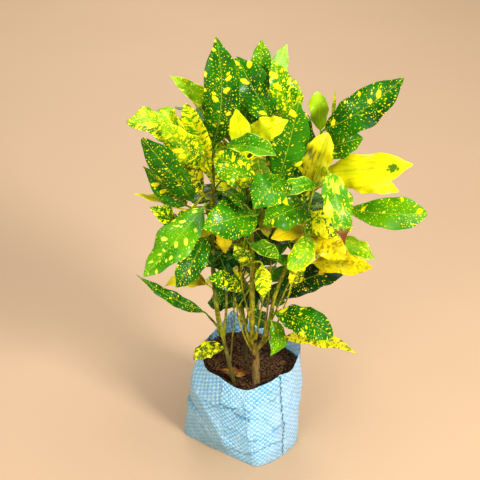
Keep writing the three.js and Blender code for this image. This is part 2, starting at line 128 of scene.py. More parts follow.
# Leaf, branch, height of its joint there (or the branch's tip), where the blade starts and ends, its width,
# the bend of its midrib (arched up, swayed to the right of the upper side), where the upper side looks
# (degrees round from -Y to +X, degrees up), how far each half folds up, look, and the outline if not oval.
LEAVES = leaf_rows("""
left_1 left 396  -29 -18 407  -24 -24 530  41  4 8  -4 12  14  splashed
left_2 left 388  -28 -4 446  -74 -2 481  20  3 0  -15 45  16  lime_mottled lance
left_3 left 372  -44 -18 411  -115 -52 450  44  13 -1  -25 55  10  mottled blunt
left_4 left 384  -31 -39 402  -56 -40 465  24  3 1  -20 20  20  striped blunt
left_5 left 362  -38 -40 393  -79 -66 455  34  4 0  -15 35  16  mottled
left_6 left 340  -51 -45 354  -97 -84 447  30  8 4  -20 40  12  deep blunt
left_7 left 350  -42 -28 354  -74 -46 424  30  4 0  10 25  12  speckled
left_8 left 330  -58 -36 344  -100 -60 404  29  5 0  -15 35  12  splashed lance
left_9 left 322  -65 -45 332  -94 -73 363  30  4 -9  -20 55  10  spangled
left_10 left 316  -39 -65 358  -100 -115 304  42  8 -4  -18 40  12  splashed_light
left_11 left 276  -38 -28 302  -72 -50 247  32  5 -3  -15 20  12  freckled_dark
left_12 left 228  -39 -20 232  -86 -26 233  24  4 6  0 60  14  amber lance
left_13 left_low tip  -42 -30 200  -116 -44 261  17  0 -4  -10 58  12  deep lance
left_14 left 346  -22 -39 362  3 -88 369  18  7 -2  20 80  16  deep
left_15 left 290  -16 -30 281  -19 -38 324  18  2 0  5 20  10  amber blunt
centre_1 centre 410  33 -4 430  -4 14 495  42  3 0  -5 25  12  splashed_dark
centre_2 centre 420  26 16 440  23 24 510  27  3 -2  0 22  12  freckled_light
centre_3 centre 418  40 28 444  50 34 501  22  3 -5  14 25  10  pale
centre_4 centre 414  52 2 429  35 6 494  30  3 0  15 22  12  peppered
centre_5 centre 396  6 -46 408  -4 -53 465  24  3 0  -10 30  12  lemon
centre_6 centre 384  5 -32 423  49 -54 453  28  5 3  10 45  12  lemon
centre_7 left 390  -14 -61 427  36 -92 432  30  6 0  0 65  30  edged
centre_8 centre 372  42 -20 369  61 -20 458  42  4 0  12 18  12  flecked
centre_9 centre 356  14 -33 369  -26 -42 409  36  5 0  -12 38  10  peppered blunt
centre_10 centre 364  46 -50 385  14 -100 376  42  8 0  -10 45  10  freckled
centre_11 centre 330  18 -60 346  -38 -100 353  46  8 0  0 45  10  freckled
centre_12 centre 320  73 -36 345  24 -76 344  40  6 0  0 50  10  flecked_light
centre_13 centre 300  72 -32 314  33 -62 318  22  3 0  0 55  10  amber_specked
centre_14 centre 296  11 -50 305  41 -84 306  20  3 -2  0 60  14  striped_light
centre_15 centre 262  25 -32 266  27 -46 231  20  2 0  0 10  10  striped
centre_16 inner 199  10 -16 228  -36 -50 260  27  4 0  0 45  12  spangled
right_1 right 388  88 14 410  82 20 453  22  2 0  10 15  8  lime blunt
right_2 right tip  90 -8 421  166 -30 489  42  5 6  0 42  12  freckled_dark
right_3 right 378  90 -6 394  130 -22 418  36  4 0  0 50  12  flecked_light
right_4 right 366  74 -21 361  92 -27 426  32  4 0  -10 25  16  gold_shaded blunt
right_5 right 360  89 -14 373  179 -58 405  42  6 4  5 50  10  gold_marked
right_6 right 352  102 -16 366  171 -36 361  30  5 -2  5 55  10  gold
right_7 right 330  115 -34 339  197 -66 351  39  5 5  5 50  12  fresh paddle
right_8 right 331  92 -53 393  109 -93 329  34  5 0  20 25  14  patched lance
right_9 right 352  80 -46 376  41 -62 374  22  4 0  0 60  20  edged
right_10 right 322  71 -50 319  50 -92 299  27  4 -8  0 40  12  lime_mottled blunt
right_11 right 286  76 -42 312  114 -78 302  32  4 0  8 42  12  amber_shaded
right_12 right 314  112 -36 305  147 -58 290  22  4 2  5 55  12  lime_mottled
right_13 right 256  83 -20 261  148 -42 268  30  4 0  0 58  12  amber_shaded
right_14 right 208  42 -22 212  128 -10 243  36  5 -9  0 48  12  dark
right_15 right 196  40 -44 209  103 -82 202  37  6 -3  5 48  12  flecked_dense blunt
right_16 right 160  52 -18 154  138 -50 153  24  6 -7  0 66  12  rusty lance
low_1 left 140  -19 -24 143  -56 -28 128  22  4 5  -10 60  10  speckled
low_2 right 180  36 -48 200  35 -66 164  22  2 -8  25 20  10  fresh
back_1 back 388  14 56 404  30 132 440  42  6 0  180 50  12  splashed
back_2 back 368  -6 50 376  -76 96 402  42  6 0  -150 50  12  freckled
back_3 back_right 336  54 58 348  128 96 372  42  6 0  150 50  12  freckled_dark
back_4 back 330  2 50 336  -34 136 330  44  8 0  -170 55  12  splashed_dark
back_5 back_right 320  44 66 318  70 142 300  44  8 0  170 50  12  mottled
""")
# Small and half hidden leaves between those.
SMALL_LEAVES = leaf_rows("""
crown_right centre 412  62 12 421  57 18 470  16  2 0  30 20  12  mottled
left_spike left 326  -69 -36 342  -113 -52 367  14  2 0  0 80  16  gold lance
left_curl left 338  -43 -46 357  -67 -70 353  16  4 0  0 -25  20  speckled
centre_hanging centre 408  18 -16 401  24 -20 358  22  2 0  0 8  14  olive
right_spike right tip  100 8 418  101 10 462  4.5  0 0  0 10  16  mottled lance
yellow_curl centre 362  43 -54 379  52 -60 357  9  2 3  0 30  20  gold lance
right_inner right 318  78 -40 338  107 -66 323  30  4 0  -6 28  12  blotched
left_deep back_twig 262  0 0 259  -32 -12 250  24  3 0  -20 35  12  shaded
low_deep back 196  8 0 213  -20 -6 190  22  3 0  0 35  12  shaded
amber_bit left 300  -30 -30 313  -46 -52 314  13  2 0  0 60  12  amber
centre_deep front_twig 262  12 -30 268  -6 -50 303  20  3 0  -10 25  12  spangled
crown_deep left 380  -31 -6 394  -48 2 432  24  3 0  -10 25  12  shaded
centre_olive centre 336  24 -50 344  30 -66 322  15  2 0  0 45  12  bronze
stem_shade back_shoot 262  14 0 266  44 6 246  24  3 0  10 25  12  shaded
stem_cover back 286  4 0 312  26 4 276  26  3 0  0 25  12  shaded
inner_left left 262  -14 -14 284  -4 -8 330  24  3 0  0 20  12  freckled_dark
inner_low left_shoot 236  -30 -30 262  -48 -32 292  18  3 0  -10 30  12  shaded
twig_leaf right_twig 276  36 -6 296  30 4 346  24  3 0  0 20  12  shaded
bud_left front_left_shoot tip  -9 -34 238  -22 -14 264  17  2 0  -10 40  12  shaded
bud_right right_low_shoot tip  58 -34 240  70 -34 276  17  2 0  10 25  12  speckled
shade_left back 160  -4 20 178  -40 36 168  26  4 0  -10 60  12  shaded
shade_middle back 172  8 24 190  24 48 152  28  4 0  0 55  12  freckled_dark
shade_right back 182  14 18 196  56 34 170  28  4 0  10 60  12  shaded
shade_front front_shoot 214  24 -24 222  36 -2 194  20  3 0  0 35  12  deep
shade_inner left_twig 200  -14 -12 214  -34 8 194  22  3 0  0 40  12  deep
screen_left left_twig 226  -8 -14 240  -26 4 214  24  3 0  -5 30  12  shaded
screen_middle back_shoot 196  14 2 214  6 12 176  26  3 0  0 30  12  shaded
screen_right right_twig 208  36 -14 226  54 2 196  26  3 0  5 35  12  shaded
screen_low back 150  12 14 166  34 30 140  22  3 0  5 45  12  shaded
shoot_leaf right_shoot 264  72 -24 288  96 -14 326  22  3 0  10 30  12  freckled_dark
""")
# The leaves at the sides and the back: the branch, its part that bears them, from and to a height, how many.
REST_OF_CROWN = [
    ("back", 175, 392, 20), ("back_right", 255, 338, 7), ("back_shoot", 200, 268, 3),
    ("back_twig", 205, 284, 4), ("left", 215, 392, 10), ("centre", 240, 418, 10), ("right", 225, 392, 11),
    ("right_twig", 215, 278, 3), ("left_twig", 190, 230, 2), ("front_shoot", 200, 260, 2),
]
REST_LOOKS = ["splashed"] * 3 + ["freckled_dark"] * 4 + ["deep"] * 2 + ["mottled"] * 3 + [
    "flecked", "splashed_dark", "splashed_light", "speckled", "gold", "striped", "freckled", "fresh",
    "blotched"]
# Seen from the front they stay inside this outline, in pixels.
CROWN_OUTLINE = [
    (158, 132), (180, 98), (214, 58), (264, 56), (290, 92), (312, 122), (350, 142), (372, 172),
    (360, 232), (340, 266), (305, 292), (262, 318), (225, 318), (196, 292), (158, 250), (160, 190),
    (150, 150),
]


# ---------------------------------------------------------------- lines and directions

class Line:
    """A smooth line through points (centripetal Catmull-Rom)."""

    def __init__(self, points, closed=False):
        self.points = [Vector(p) for p in points]
        self.closed = closed

    def at(self, share):
        points = self.points
        count = len(points)
        place = share % 1 * count if self.closed else share * (count - 1)
        start = int(place) if self.closed else min(int(place), count - 2)
        weight = place - start
        if self.closed:
            before, here, after, beyond = (points[(start + k) % count] for k in (-1, 0, 1, 2))
        else:
            here, after = points[start], points[start + 1]
            before = points[start - 1] if start > 0 else 2 * here - after
            beyond = points[start + 2] if start + 2 < count else 2 * after - here
        first, middle, last = (max(1e-4, (b - a).length) ** 0.5
                               for a, b in ((before, here), (here, after), (after, beyond)))
        leave = ((here - before) / first - (after - before) / (first + middle)
                 + (after - here) / middle) * middle
        arrive = ((after - here) / middle - (beyond - here) / (middle + last)
                  + (beyond - after) / last) * middle
        return (here + leave * weight + (3 * (after - here) - 2 * leave - arrive) * weight ** 2
                + (2 * (here - after) + leave + arrive) * weight ** 3)

    def heading(self, share):
        low, high = share - 1e-3, share + 1e-3
        if not self.closed:
            low, high = max(0, low), min(1, high)
        return (self.at(high) - self.at(low)).normalized()


class Branch:
    """A branch's line by the share of its length, with its radius."""

    STEPS = 160

    def __init__(self, points, root_radius, tip_radius):
        line = Line(points)
        self.places = [line.at(i / self.STEPS) for i in range(self.STEPS + 1)]
        self.radii = (root_radius, tip_radius)
        self.reached = [0.0]
        for a, b in zip(self.places, self.places[1:]):
            self.reached.append(self.reached[-1] + (b - a).length)
        self.length = self.reached[-1]

    def at(self, share):
        goal = min(max(share, 0), 1) * self.length
        i = next((i for i in range(self.STEPS) if self.reached[i + 1] >= goal), self.STEPS - 1)
        part = (goal - self.reached[i]) / (self.reached[i + 1] - self.reached[i])
        return self.places[i].lerp(self.places[i + 1], part)

    def heading(self, share):
        return (self.at(share + 0.01) - self.at(share - 0.01)).normalized()

    def radius(self, share):
        return self.radii[0] + (self.radii[1] - self.radii[0]) * share

    def share_at(self, height):
        if height == "tip":
            return 1.0
        above = [i for i, p in enumerate(self.places) if p.z >= height]
        return self.reached[above[0]] / self.length if above else 1.0


def compass(around, up):
    """A direction so many degrees round from -Y toward +X and so many up."""
    flat = math.cos(math.radians(up))
    turned = math.radians(around)
    return Vector((flat * math.sin(turned), -flat * math.cos(turned), math.sin(math.radians(up))))


def square_to(direction, other):
    """`direction` made square to `other`."""
    return (direction - direction.dot(other) * other).normalized()


# ---------------------------------------------------------------- working with meshes

def deselect():
    bpy.ops.object.select_all(action="DESELECT")


def chosen(piece, choose, mode):
    """In edit mode, selects the vertices, edges or faces for which choose is true."""
    bpy.ops.object.mode_set(mode="EDIT")
    bpy.ops.mesh.select_all(action="DESELECT")
    bpy.ops.mesh.select_mode(type=mode)
    bpy.ops.object.mode_set(mode="OBJECT")
    mesh = piece.data
    for item in {"VERT": mesh.vertices, "EDGE": mesh.edges, "FACE": mesh.polygons}[mode]:
        item.select = choose(item)
    bpy.ops.object.mode_set(mode="EDIT")


def cylinder(sides, ends):
    """An upright cylinder of radius 1 from z 0 to 1."""
    deselect()
    bpy.ops.mesh.primitive_cylinder_add(vertices=sides, radius=1, depth=1, end_fill_type=ends,
                                        location=(0, 0, 0.5))
    bpy.ops.object.transform_apply(location=True)
    return bpy.context.object


def cut_across(piece, cuts):
    """Divides the upright edges of a cylinder."""
    ends = piece.data.vertices
    chosen(piece, lambda edge: abs(ends[edge.vertices[0]].co.z - ends[edge.vertices[1]].co.z) > 0.5, "EDGE")
    bpy.ops.mesh.subdivide(number_cuts=cuts)
    bpy.ops.object.mode_set(mode="OBJECT")


def inset_rings(piece, facing, count, step):
    """Fills the end that faces up (1) or down (-1) with rings and a fan, from the rim inward."""
    chosen(piece, lambda face: face.normal.z * facing > 0.9, "FACE")
    for _ in range(count):
        bpy.ops.mesh.inset(thickness=step)
    bpy.ops.mesh.poke()
    bpy.ops.object.mode_set(mode="OBJECT")


def strut(sides, cuts):
    """A round bar of radius 1 from z 0 to 1, cut across, whose UV map runs up it."""
    bar = cylinder(sides, "TRIFAN")
    cut_across(bar, cuts)
    bar.data.uv_layers[0].name = "share"
    bpy.ops.object.shade_smooth()
    return bar


def copied(blank, name, place):
    """A copy of a blank with its own mesh, each vertex moved to where `place` puts it, in millimetres."""
    piece = bpy.data.objects.new(name, blank.data.copy())
    piece.data.name = name
    bpy.context.scene.collection.objects.link(piece)
    for vertex in piece.data.vertices:
        vertex.co = place(vertex.co) * MM
    return piece


def modified(piece, *modifiers):
    """Adds each modifier with its settings and applies it."""
    deselect()
    bpy.context.view_layer.objects.active = piece
    piece.select_set(True)
    for kind, settings in modifiers:
        modifier = piece.modifiers.new(kind.lower(), kind)
        for name, value in settings.items():
            setattr(modifier, name, value)
        bpy.ops.object.modifier_apply(modifier=modifier.name)
    return piece


def subdivided(levels=1):
    return ("SUBSURF", {"levels": levels, "render_levels": levels})


def joined(pieces, name):
    deselect()
    for piece in pieces:
        piece.select_set(True)
    bpy.context.view_layer.objects.active = pieces[0]
    if len(pieces) > 1:
        bpy.ops.object.join()
    pieces[0].name = name
    return pieces[0]


def painted(piece, *materials):
    piece.data.materials.clear()
    for material in materials:
        piece.data.materials.append(material)
    return piece


def smooth(piece):
    for polygon in piece.data.polygons:
        polygon.use_smooth = True
    return piece


def kept(piece, slot, *nodes):
    """The piece belongs to the plant: it stands for these solids, which are hidden. The slot is not used."""
    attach(piece, "root")
    if nodes:
        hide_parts(*nodes)
    return piece


# ---------------------------------------------------------------- materials

class Value:
    """A socket of a material. Sums, products and the like of it add Math nodes."""

    def __init__(self, finish, socket):
        self.finish = finish
        self.socket = socket

    def _math(self, operation, *values):
        return self.finish.node("ShaderNodeMath", {"operation": operation}, *values)

    def __add__(self, other):
        return self._math("ADD", self, other)

    def __sub__(self, other):
        return self._math("SUBTRACT", self, other)

    def __rsub__(self, other):
        return self._math("SUBTRACT", other, self)

    def __mul__(self, other):
        return self._math("MULTIPLY", self, other)

    def __truediv__(self, other):
        return self._math("DIVIDE", self, other)

    def __pow__(self, other):
        return self._math("POWER", self, other)

    def __abs__(self):
        return self._math("ABSOLUTE", self)

    def __mod__(self, other):
        return self._math("FLOORED_MODULO", self, other)

    __radd__ = __add__
    __rmul__ = __mul__

    def sine(self):
        return self._math("SINE", self)

    def larger(self, other):
        return self._math("MAXIMUM", self, other)

    def step(self, low, high):
        """0 below low, 1 above high, smooth between; low above high turns it round."""
        if low > high:
            return 1 - self.step(high, low)
        return self.finish.node("ShaderNodeMapRange", {"interpolation_type": "SMOOTHSTEP"},
                                self, low, high, 0.0, 1.0)


class Finish:
    """A material under construction."""

    def __init__(self, name):
        self.material = bpy.data.materials.new(name)
        self.material.use_nodes = True
        self.tree = self.material.node_tree
        self.shader = self.tree.nodes["Principled BSDF"]

    def node(self, kind, settings, *values, out=0, **named):
        """Adds a node with its settings, then its sockets' values or links, in order or by name."""
        node = self.tree.nodes.new(kind)
        for name, value in settings.items():
            setattr(node, name, value)
        sockets = [s for s in node.inputs if s.enabled]
        by_name = {s.name: s for s in reversed(sockets)}
        for socket, value in [*zip(sockets, values), *((by_name[n], v) for n, v in named.items())]:
            self.put(socket, value)
        shown = [s for s in node.outputs if s.enabled]
        picked = {s.name: s for s in reversed(shown)}[out] if isinstance(out, str) else shown[out]
        return Value(self, picked)

    def put(self, socket, value):
        if isinstance(value, Value):
            self.tree.links.new(value.socket, socket)
        elif isinstance(value, (tuple, list)) and len(socket.default_value) == 4:
            socket.default_value = (*value, 1)
        else:
            socket.default_value = value

    def mix(self, share, first, second):
        """Two colours mixed: the first where share is 0, the second where it is 1."""
        return self.node("ShaderNodeMix", {"data_type": "RGBA"}, Factor=share, A=first, B=second)

    def uv(self, name):
        return self.node("ShaderNodeUVMap", {"uv_map": name})

    def object_place(self):
        return self.node("ShaderNodeTexCoord", {}, out="Object")

    def split(self, vector):
        node = self.node("ShaderNodeSeparateXYZ", {}, vector).socket.node
        return [Value(self, s) for s in node.outputs]

    def together(self, x, y, z=0.0):
        return self.node("ShaderNodeCombineXYZ", {}, x, y, z)

    def moved(self, vector, other):
        return self.node("ShaderNodeVectorMath", {"operation": "ADD"}, vector, other)

    def scaled(self, vector, scale):
        return self.node("ShaderNodeVectorMath", {"operation": "SCALE"}, vector, Scale=scale)

    def stretched(self, vector, x, y, z):
        """A place for a pattern, which comes out longer the smaller the scale."""
        return self.node("ShaderNodeMapping", {}, Vector=vector, Scale=(x, y, z))

    def cell_draws(self, cells):
        """Three random values from 0 to 1 that are the same all over one cell."""
        return self.split(Value(self, cells.socket.node.outputs["Color"]))

    def noise(self, vector, scale, detail=2.0, flat=False, out=0):
        settings = {"noise_dimensions": "2D" if flat else "3D"}
        return self.node("ShaderNodeTexNoise", settings, Vector=vector, Scale=scale, Detail=detail, out=out)

    def wobbled(self, vector, scale, reach, flat=False):
        """The vector shifted to and fro by up to about `reach`."""
        shift = self.noise(vector, scale, flat=flat, out=1)
        centred = self.node("ShaderNodeVectorMath", {"operation": "SUBTRACT"}, shift, (0.5, 0.5, 0.5))
        return self.moved(vector, self.scaled(centred, 2 * reach))

    def done(self, colour, roughness, height=None, rise=0.0003, strength=0.6, **constants):
        """Feeds the shader; `height` from 0 to 1 is a relief of `rise` metres."""
        self.put(self.shader.inputs["Base Color"], colour)
        self.put(self.shader.inputs["Roughness"], roughness)
        if height is not None:
            bump = self.node("ShaderNodeBump", {}, Strength=strength, Distance=rise, Height=height)
            self.put(self.shader.inputs["Normal"], bump)
        for name, value in constants.items():
            self.put(self.shader.inputs[name.replace("_", " ").title().replace("Ior", "IOR")], value)
        return self.material


# ---------------------------------------------------------------- leaf skins

DEEP = (0.004, 0.078, 0.001)
GREEN = (0.018, 0.20, 0.001)
BRIGHT = (0.095, 0.35, 0.001)
FRESH = (0.26, 0.52, 0.002)
LIME = (0.42, 0.68, 0.004)
GOLD = (0.95, 0.89, 0.002)
CREAM = (0.90, 0.90, 0.045)
AMBER = (0.84, 0.62, 0.002)
OLIVE = (0.15, 0.20, 0.004)
BROWN = (0.17, 0.045, 0.008)

# What a look may set, beside the dark and the light colour of the ground.
PLAIN = {
    "yellow": GOLD,
    "splashes": 0,  # the shares of the cells that hold a large splash, a spot, a fine dot and dust
    "spots": 0,
    "dots": 0,
    "dust": 0.12,
    "size": 1,  # of the marks, against the radii in MARKS
    "drawn": 0.85,  # how much narrower the cells are along the side veins
    "clouds": 0,  # how much is covered by yellow clouds, and by streaks along the side veins
    "streaks": 0,
    "grain": 190,  # streaks to the metre
    "lengthwise": False,  # the streaks run along the blade instead
    "edge": False,  # whether the margin is yellow
    "burnt": 0,  # the share of the length at the tip that is brown
    # shade: the base darkened toward olive is partly the leaf's own olive and partly painted shade
    "shade": 0,  # how far along the blade its base is shaded olive, if it has a rib
    "rib": None,  # the midrib's own colour
    "blotch": None,  # where a green blotch lies: metres across, share of the length
    "gloss": 0.30,  # roughness
}
GOLD_RIB = (0.50, 0.46, 0.004)


def coloured(dark, light, **marks):
    """A look with this ground and these marks, and for the rest plain."""
    return {**PLAIN, "dark": dark, "light": light, **marks}


LOOKS = {
    "splashed": coloured(DEEP, GREEN, splashes=0.66, spots=0.26, dots=0.7, size=0.82),
    "splashed_dark": coloured(DEEP, GREEN, splashes=0.26, spots=0.14, dots=0.6),
    "splashed_light": coloured((0.035, 0.24, 0.001), (0.11, 0.37, 0.001), splashes=0.8, spots=0.24,
                               dots=0.6, yellow=(0.68, 0.82, 0.05), gloss=0.24, size=0.74),
    "freckled": coloured((0.008, 0.12, 0.001), (0.05, 0.27, 0.001), splashes=0.04, spots=0.14, dots=0.6),
    "freckled_dark": coloured(DEEP, GREEN, splashes=0.13, spots=0.16, dots=0.6),
    "freckled_light": coloured(GREEN, BRIGHT, splashes=0.1, spots=0.22, dots=0.8),
    "flecked": coloured((0.01, 0.12, 0.001), (0.035, 0.24, 0.001), splashes=0.05, spots=0.15, dots=0.4,
                        drawn=0.5),
    "flecked_light": coloured((0.014, 0.14, 0.001), (0.06, 0.27, 0.001), splashes=0.04, spots=0.14,
                              dots=0.5, drawn=0.5),
    "flecked_dense": coloured(DEEP, GREEN, splashes=0.06, spots=0.55, dots=0.8, drawn=0.6, size=0.85),
    "fresh": coloured((0.04, 0.24, 0.001), (0.11, 0.36, 0.001), splashes=0.08, spots=0.1, dots=0.5,
                      gloss=0.26),
    "deep": coloured(DEEP, (0.015, 0.15, 0.001), spots=0.08, dots=0.3, dust=0.2, gloss=0.34),
    "dark": coloured((0.002, 0.016, 0.001), (0.004, 0.05, 0.001), splashes=0.16, spots=0.2, dots=0.4,
                     yellow=AMBER),
    # shaded: near-black green for the leaves deep inside the crown, painted shade standing for the shadow
    # they lie in
    "shaded": coloured((0.002, 0.02, 0.001), DEEP, spots=0.1, dots=0.3, yellow=BRIGHT),
    "speckled": coloured(DEEP, OLIVE, splashes=0.3, spots=0.5, dots=0.8, clouds=0.36),
    "spangled": coloured(DEEP, GREEN, splashes=0.3, spots=0.6, dots=0.9, clouds=0.24),
    "peppered": coloured(GREEN, BRIGHT, splashes=0.3, spots=0.6, dots=0.9, clouds=0.26),
    "mottled": coloured(GREEN, FRESH, splashes=0.2, spots=0.5, dots=0.9, clouds=0.26, streaks=0.2),
    "lime_mottled": coloured(BRIGHT, FRESH, spots=0.2, dots=0.6, clouds=0.25, edge=True),
    "lime": coloured(FRESH, LIME, dust=0),
    # pale: fresh green mixed with a whitish light green; the whitish part is a painted highlight on the
    # leaf's own pale green
    "pale": coloured(FRESH, (0.42, 0.8, 0.16), dots=0.4, gloss=0.2),
    "edged": coloured(GREEN, BRIGHT, spots=0.25, dots=0.5, edge=True, yellow=(0.62, 0.74, 0.03)),
    "striped": coloured(GREEN, BRIGHT, dots=0.3, streaks=0.56, clouds=0.2, grain=320),
    "striped_light": coloured(GREEN, BRIGHT, spots=0.55, dots=0.7, drawn=0.5, edge=True,
                              yellow=(0.78, 0.86, 0.06)),
    "blotched": coloured(DEEP, GREEN, splashes=0.4, spots=0.6, dots=0.8, clouds=0.52, streaks=0.3),
    "rusty": coloured(BROWN, OLIVE, splashes=0.4, spots=0.6, dots=0.8, clouds=0.52, streaks=0.35,
                      yellow=(0.86, 0.74, 0.004)),
    "patched": coloured((0.05, 0.26, 0.001), (0.11, 0.36, 0.001), clouds=0.22, streaks=0.29, dots=0.4,
                        yellow=(0.8, 0.84, 0.03), burnt=0.2, gloss=0.42, lengthwise=True),
    "gold": coloured(BRIGHT, FRESH, clouds=0.9, streaks=0.8, shade=0.15, rib=GOLD_RIB),
    "lemon": coloured(BRIGHT, FRESH, yellow=(0.84, 0.92, 0.002), clouds=0.88, streaks=0.8, shade=0.05,
                      rib=(0.46, 0.52, 0.004)),
    "gold_marked": coloured(BRIGHT, FRESH, clouds=0.92, streaks=0.8, shade=0.1, rib=GOLD_RIB,
                       blotch=(0.002, 0.8)),
    "gold_shaded": coloured(OLIVE, OLIVE, clouds=0.68, streaks=0.72, spots=0.3, shade=0.75, rib=GOLD_RIB),
    "amber": coloured(OLIVE, OLIVE, yellow=AMBER, clouds=0.85, streaks=0.75, shade=0.25, rib=GOLD_RIB),
    "amber_shaded": coloured((0.42, 0.24, 0.003), (0.36, 0.32, 0.004), yellow=(0.92, 0.76, 0.004),
                             clouds=0.5, streaks=0.52, spots=0.4, dots=0.5, shade=0.25,
                             rib=(0.56, 0.34, 0.003)),
    "bronze": coloured(DEEP, OLIVE, yellow=(0.3, 0.22, 0.003), clouds=0.6, streaks=0.6, shade=0.5,
                       rib=OLIVE),
    "amber_specked": coloured(DEEP, OLIVE, yellow=AMBER, clouds=0.74, streaks=0.66, spots=0.3, shade=0.3,
                              rib=GOLD_RIB),
    "olive": coloured(OLIVE, GREEN, yellow=AMBER, clouds=0.2, streaks=0.3),
    "dry": coloured(BROWN, (0.22, 0.06, 0.01), yellow=(0.3, 0.095, 0.02), clouds=0.4, rib=(0.3, 0.11, 0.03),
                    gloss=0.7),
}
# The yellow marks: cells to the metre, the least and the greatest radius of a mark in cells.
MARKS = {"splashes": (84, 0.20, 0.37), "spots": (165, 0.12, 0.28), "dots": (340, 0.12, 0.25),
         "dust": (560, 0.12, 0.25)}
SCATTER = 0.8  # how far the marks leave an even grid; at 1 they meet and cut each other off
VEIN_GAP = 7.5  # from one side vein to the next along the midrib
VEIN_LEAN = 0.55  # how far along the blade a side vein climbs, for each millimetre across


def leaf_skin(name, under):
    """The upper side of a leaf, or its paler, duller underside."""
    look = LOOKS[name]
    finish = Finish(f"leaf {name} {'underside' if under else 'top'}")
    along = finish.split(finish.uv("share"))[1]
    skin = finish.uv("skin")
    skin_x, skin_y, _ = finish.split(skin)
    from_rib = abs(skin_x)
    rough_skin = finish.wobbled(skin, 300, 0.0005, flat=True)
    rough_x, rough_y, _ = finish.split(rough_skin)
    climb = rough_y - abs(rough_x) * VEIN_LEAN

    ground = finish.noise(rough_skin, 42, 4, flat=True)
    body = finish.mix((ground + along * 0.15).step(0.35, 0.75), look["dark"], look["light"])
    paler = tuple(0.75 * a + 0.25 * b for a, b in zip(look["yellow"], look["rib"] or CREAM))
    yellow = finish.mix(finish.noise(skin, 60, 3, flat=True).step(0.35, 0.7), look["yellow"], paler)
    crowd = finish.noise(skin, 32, 1, flat=True) - 0.5
    lean = finish.wobbled(finish.together(rough_x * look["drawn"], climb), 170, 0.0010, flat=True)
    covers = []
    for mark, (cells, least, most) in MARKS.items():
        if look[mark]:
            cell = finish.node("ShaderNodeTexVoronoi", {"voronoi_dimensions": "2D"}, Vector=lean, Scale=cells,
                               Randomness=SCATTER)
            chance, size, _ = finish.cell_draws(cell)
            held = (chance + crowd * 0.7).step(0.99 - look[mark], 1.01 - look[mark])
            radius = (size * (most - least) + least) * held * look["size"]
            covers.append((radius - cell).step(-0.02, 0.07))
    if look["lengthwise"]:
        streak_place = finish.together(rough_x * 0.7, rough_y * 0.22)
    else:
        streak_place = finish.together(rough_x * 0.28, climb)
    cloud = finish.noise(rough_skin, 240, 4, flat=True) * 0.75 + finish.noise(skin, 70, 2, flat=True) * 0.25
    for kind, field in (("clouds", cloud),
                        ("streaks", finish.noise(streak_place, look["grain"], 3, flat=True))):
        if look[kind]:
            line = 0.72 - 0.44 * look[kind]
            covers.append(field.step(line - 0.05, line + 0.04))
    if look["edge"]:
        share_across = abs(finish.split(finish.uv("share"))[0] * 2 - 1)
        covers.append((share_across + (ground - 0.5) * 0.3).step(0.86, 0.97))
    colour = body
    if covers:
        cover = covers[0]
        for other in covers[1:]:
            cover = cover.larger(other)
        tinge = from_rib.step(0.011, 0.0) * ground.step(0.42, 0.62) * 0.35
        colour = finish.mix(cover, body, finish.mix(tinge, yellow, FRESH))

    vein = abs(((climb / (VEIN_GAP * MM)) % 1) - 0.5).step(0.455, 0.5)
    midrib = from_rib.step(0.0007, 0.0002)
    vein_tone = look["rib"] or tuple(0.6 * a + 0.4 * b for a, b in zip(look["light"], CREAM))
    colour = finish.mix(vein * 0.22, colour, vein_tone)
    colour = finish.mix(midrib * 0.6, colour, vein_tone)
    if look["rib"]:
        wisps = finish.noise(finish.together(rough_x, rough_y * 0.18), 330, 3, flat=True).step(0.48, 0.68)
        colour = finish.mix(wisps * 0.35, colour, look["rib"])
        reach = look["shade"]
        # dim darkens the base toward dark olive: partly the leaf's own colour, partly painted shade
        dim = (along + (ground - 0.5) * 0.8).step(reach + 0.1, reach - 0.25) * (0.5 + wisps * 0.4)
        colour = finish.mix(dim, colour, (0.10, 0.10, 0.002))
    if look["blotch"]:
        across_blotch, along_blotch = look["blotch"]
        off_x = (rough_x - across_blotch) / 0.0052
        off_y = (along - along_blotch) / 0.060
        away = (off_x * off_x + off_y * off_y) ** 0.5 + (cloud - 0.5) * 2.6
        colour = finish.mix(away.step(1.05, 0.65) * 0.9, colour, (0.02, 0.15, 0.001))
    if look["burnt"]:
        ragged = (finish.noise(skin, 160, 4, flat=True) - 0.5) * 0.22
        colour = finish.mix((along + ragged).step(0.95 - look["burnt"], 1.0 - look["burnt"]), colour, OLIVE)
        colour = finish.mix((along + ragged).step(0.98 - look["burnt"], 1.03 - look["burnt"]), colour, BROWN)
    if under:
        colour = finish.mix(0.3, colour, (0.30, 0.45, 0.05))
    grain = finish.noise(skin, 1500, 2, flat=True)
    relief = grain * 0.12 - vein * 0.4 - midrib * 0.6 + ground * 0.3
    gloss = ground * 0.14 + (look["gloss"] + (0.25 if under else 0) - 0.07)
    return finish.done(colour, gloss, relief, rise=0.0005, strength=0.5,
                       coat_weight=0.0 if under else 0.06, coat_roughness=0.2, specular_ior_level=0.15)


def stalk_skin():
    finish = Finish("leaf stalk")
    up = finish.split(finish.uv("share"))[1]
    place = finish.object_place()
    streak = finish.noise(finish.stretched(place, 1, 1, 0.15), 900)
    colour = finish.mix(up.step(0.0, 0.5) * 0.7 + streak * 0.4, (0.16, 0.20, 0.004), (0.42, 0.48, 0.010))
    return finish.done(colour, 0.42 + streak * 0.1, streak, rise=0.0002, strength=0.4)


# ---------------------------------------------------------------- leaves

BLADE_ACROSS = 8
BLADE_ALONG = 26
BLADE_THICK = 0.45
STALK_CUTS = 15
STALK_RADIUS = 0.95
MIDRIB_END = 0.97  # how far along the blade the midrib stands out below
STALK_SHARE = 0.45  # of the stalk's rows up to the blade; the others are the midrib under it


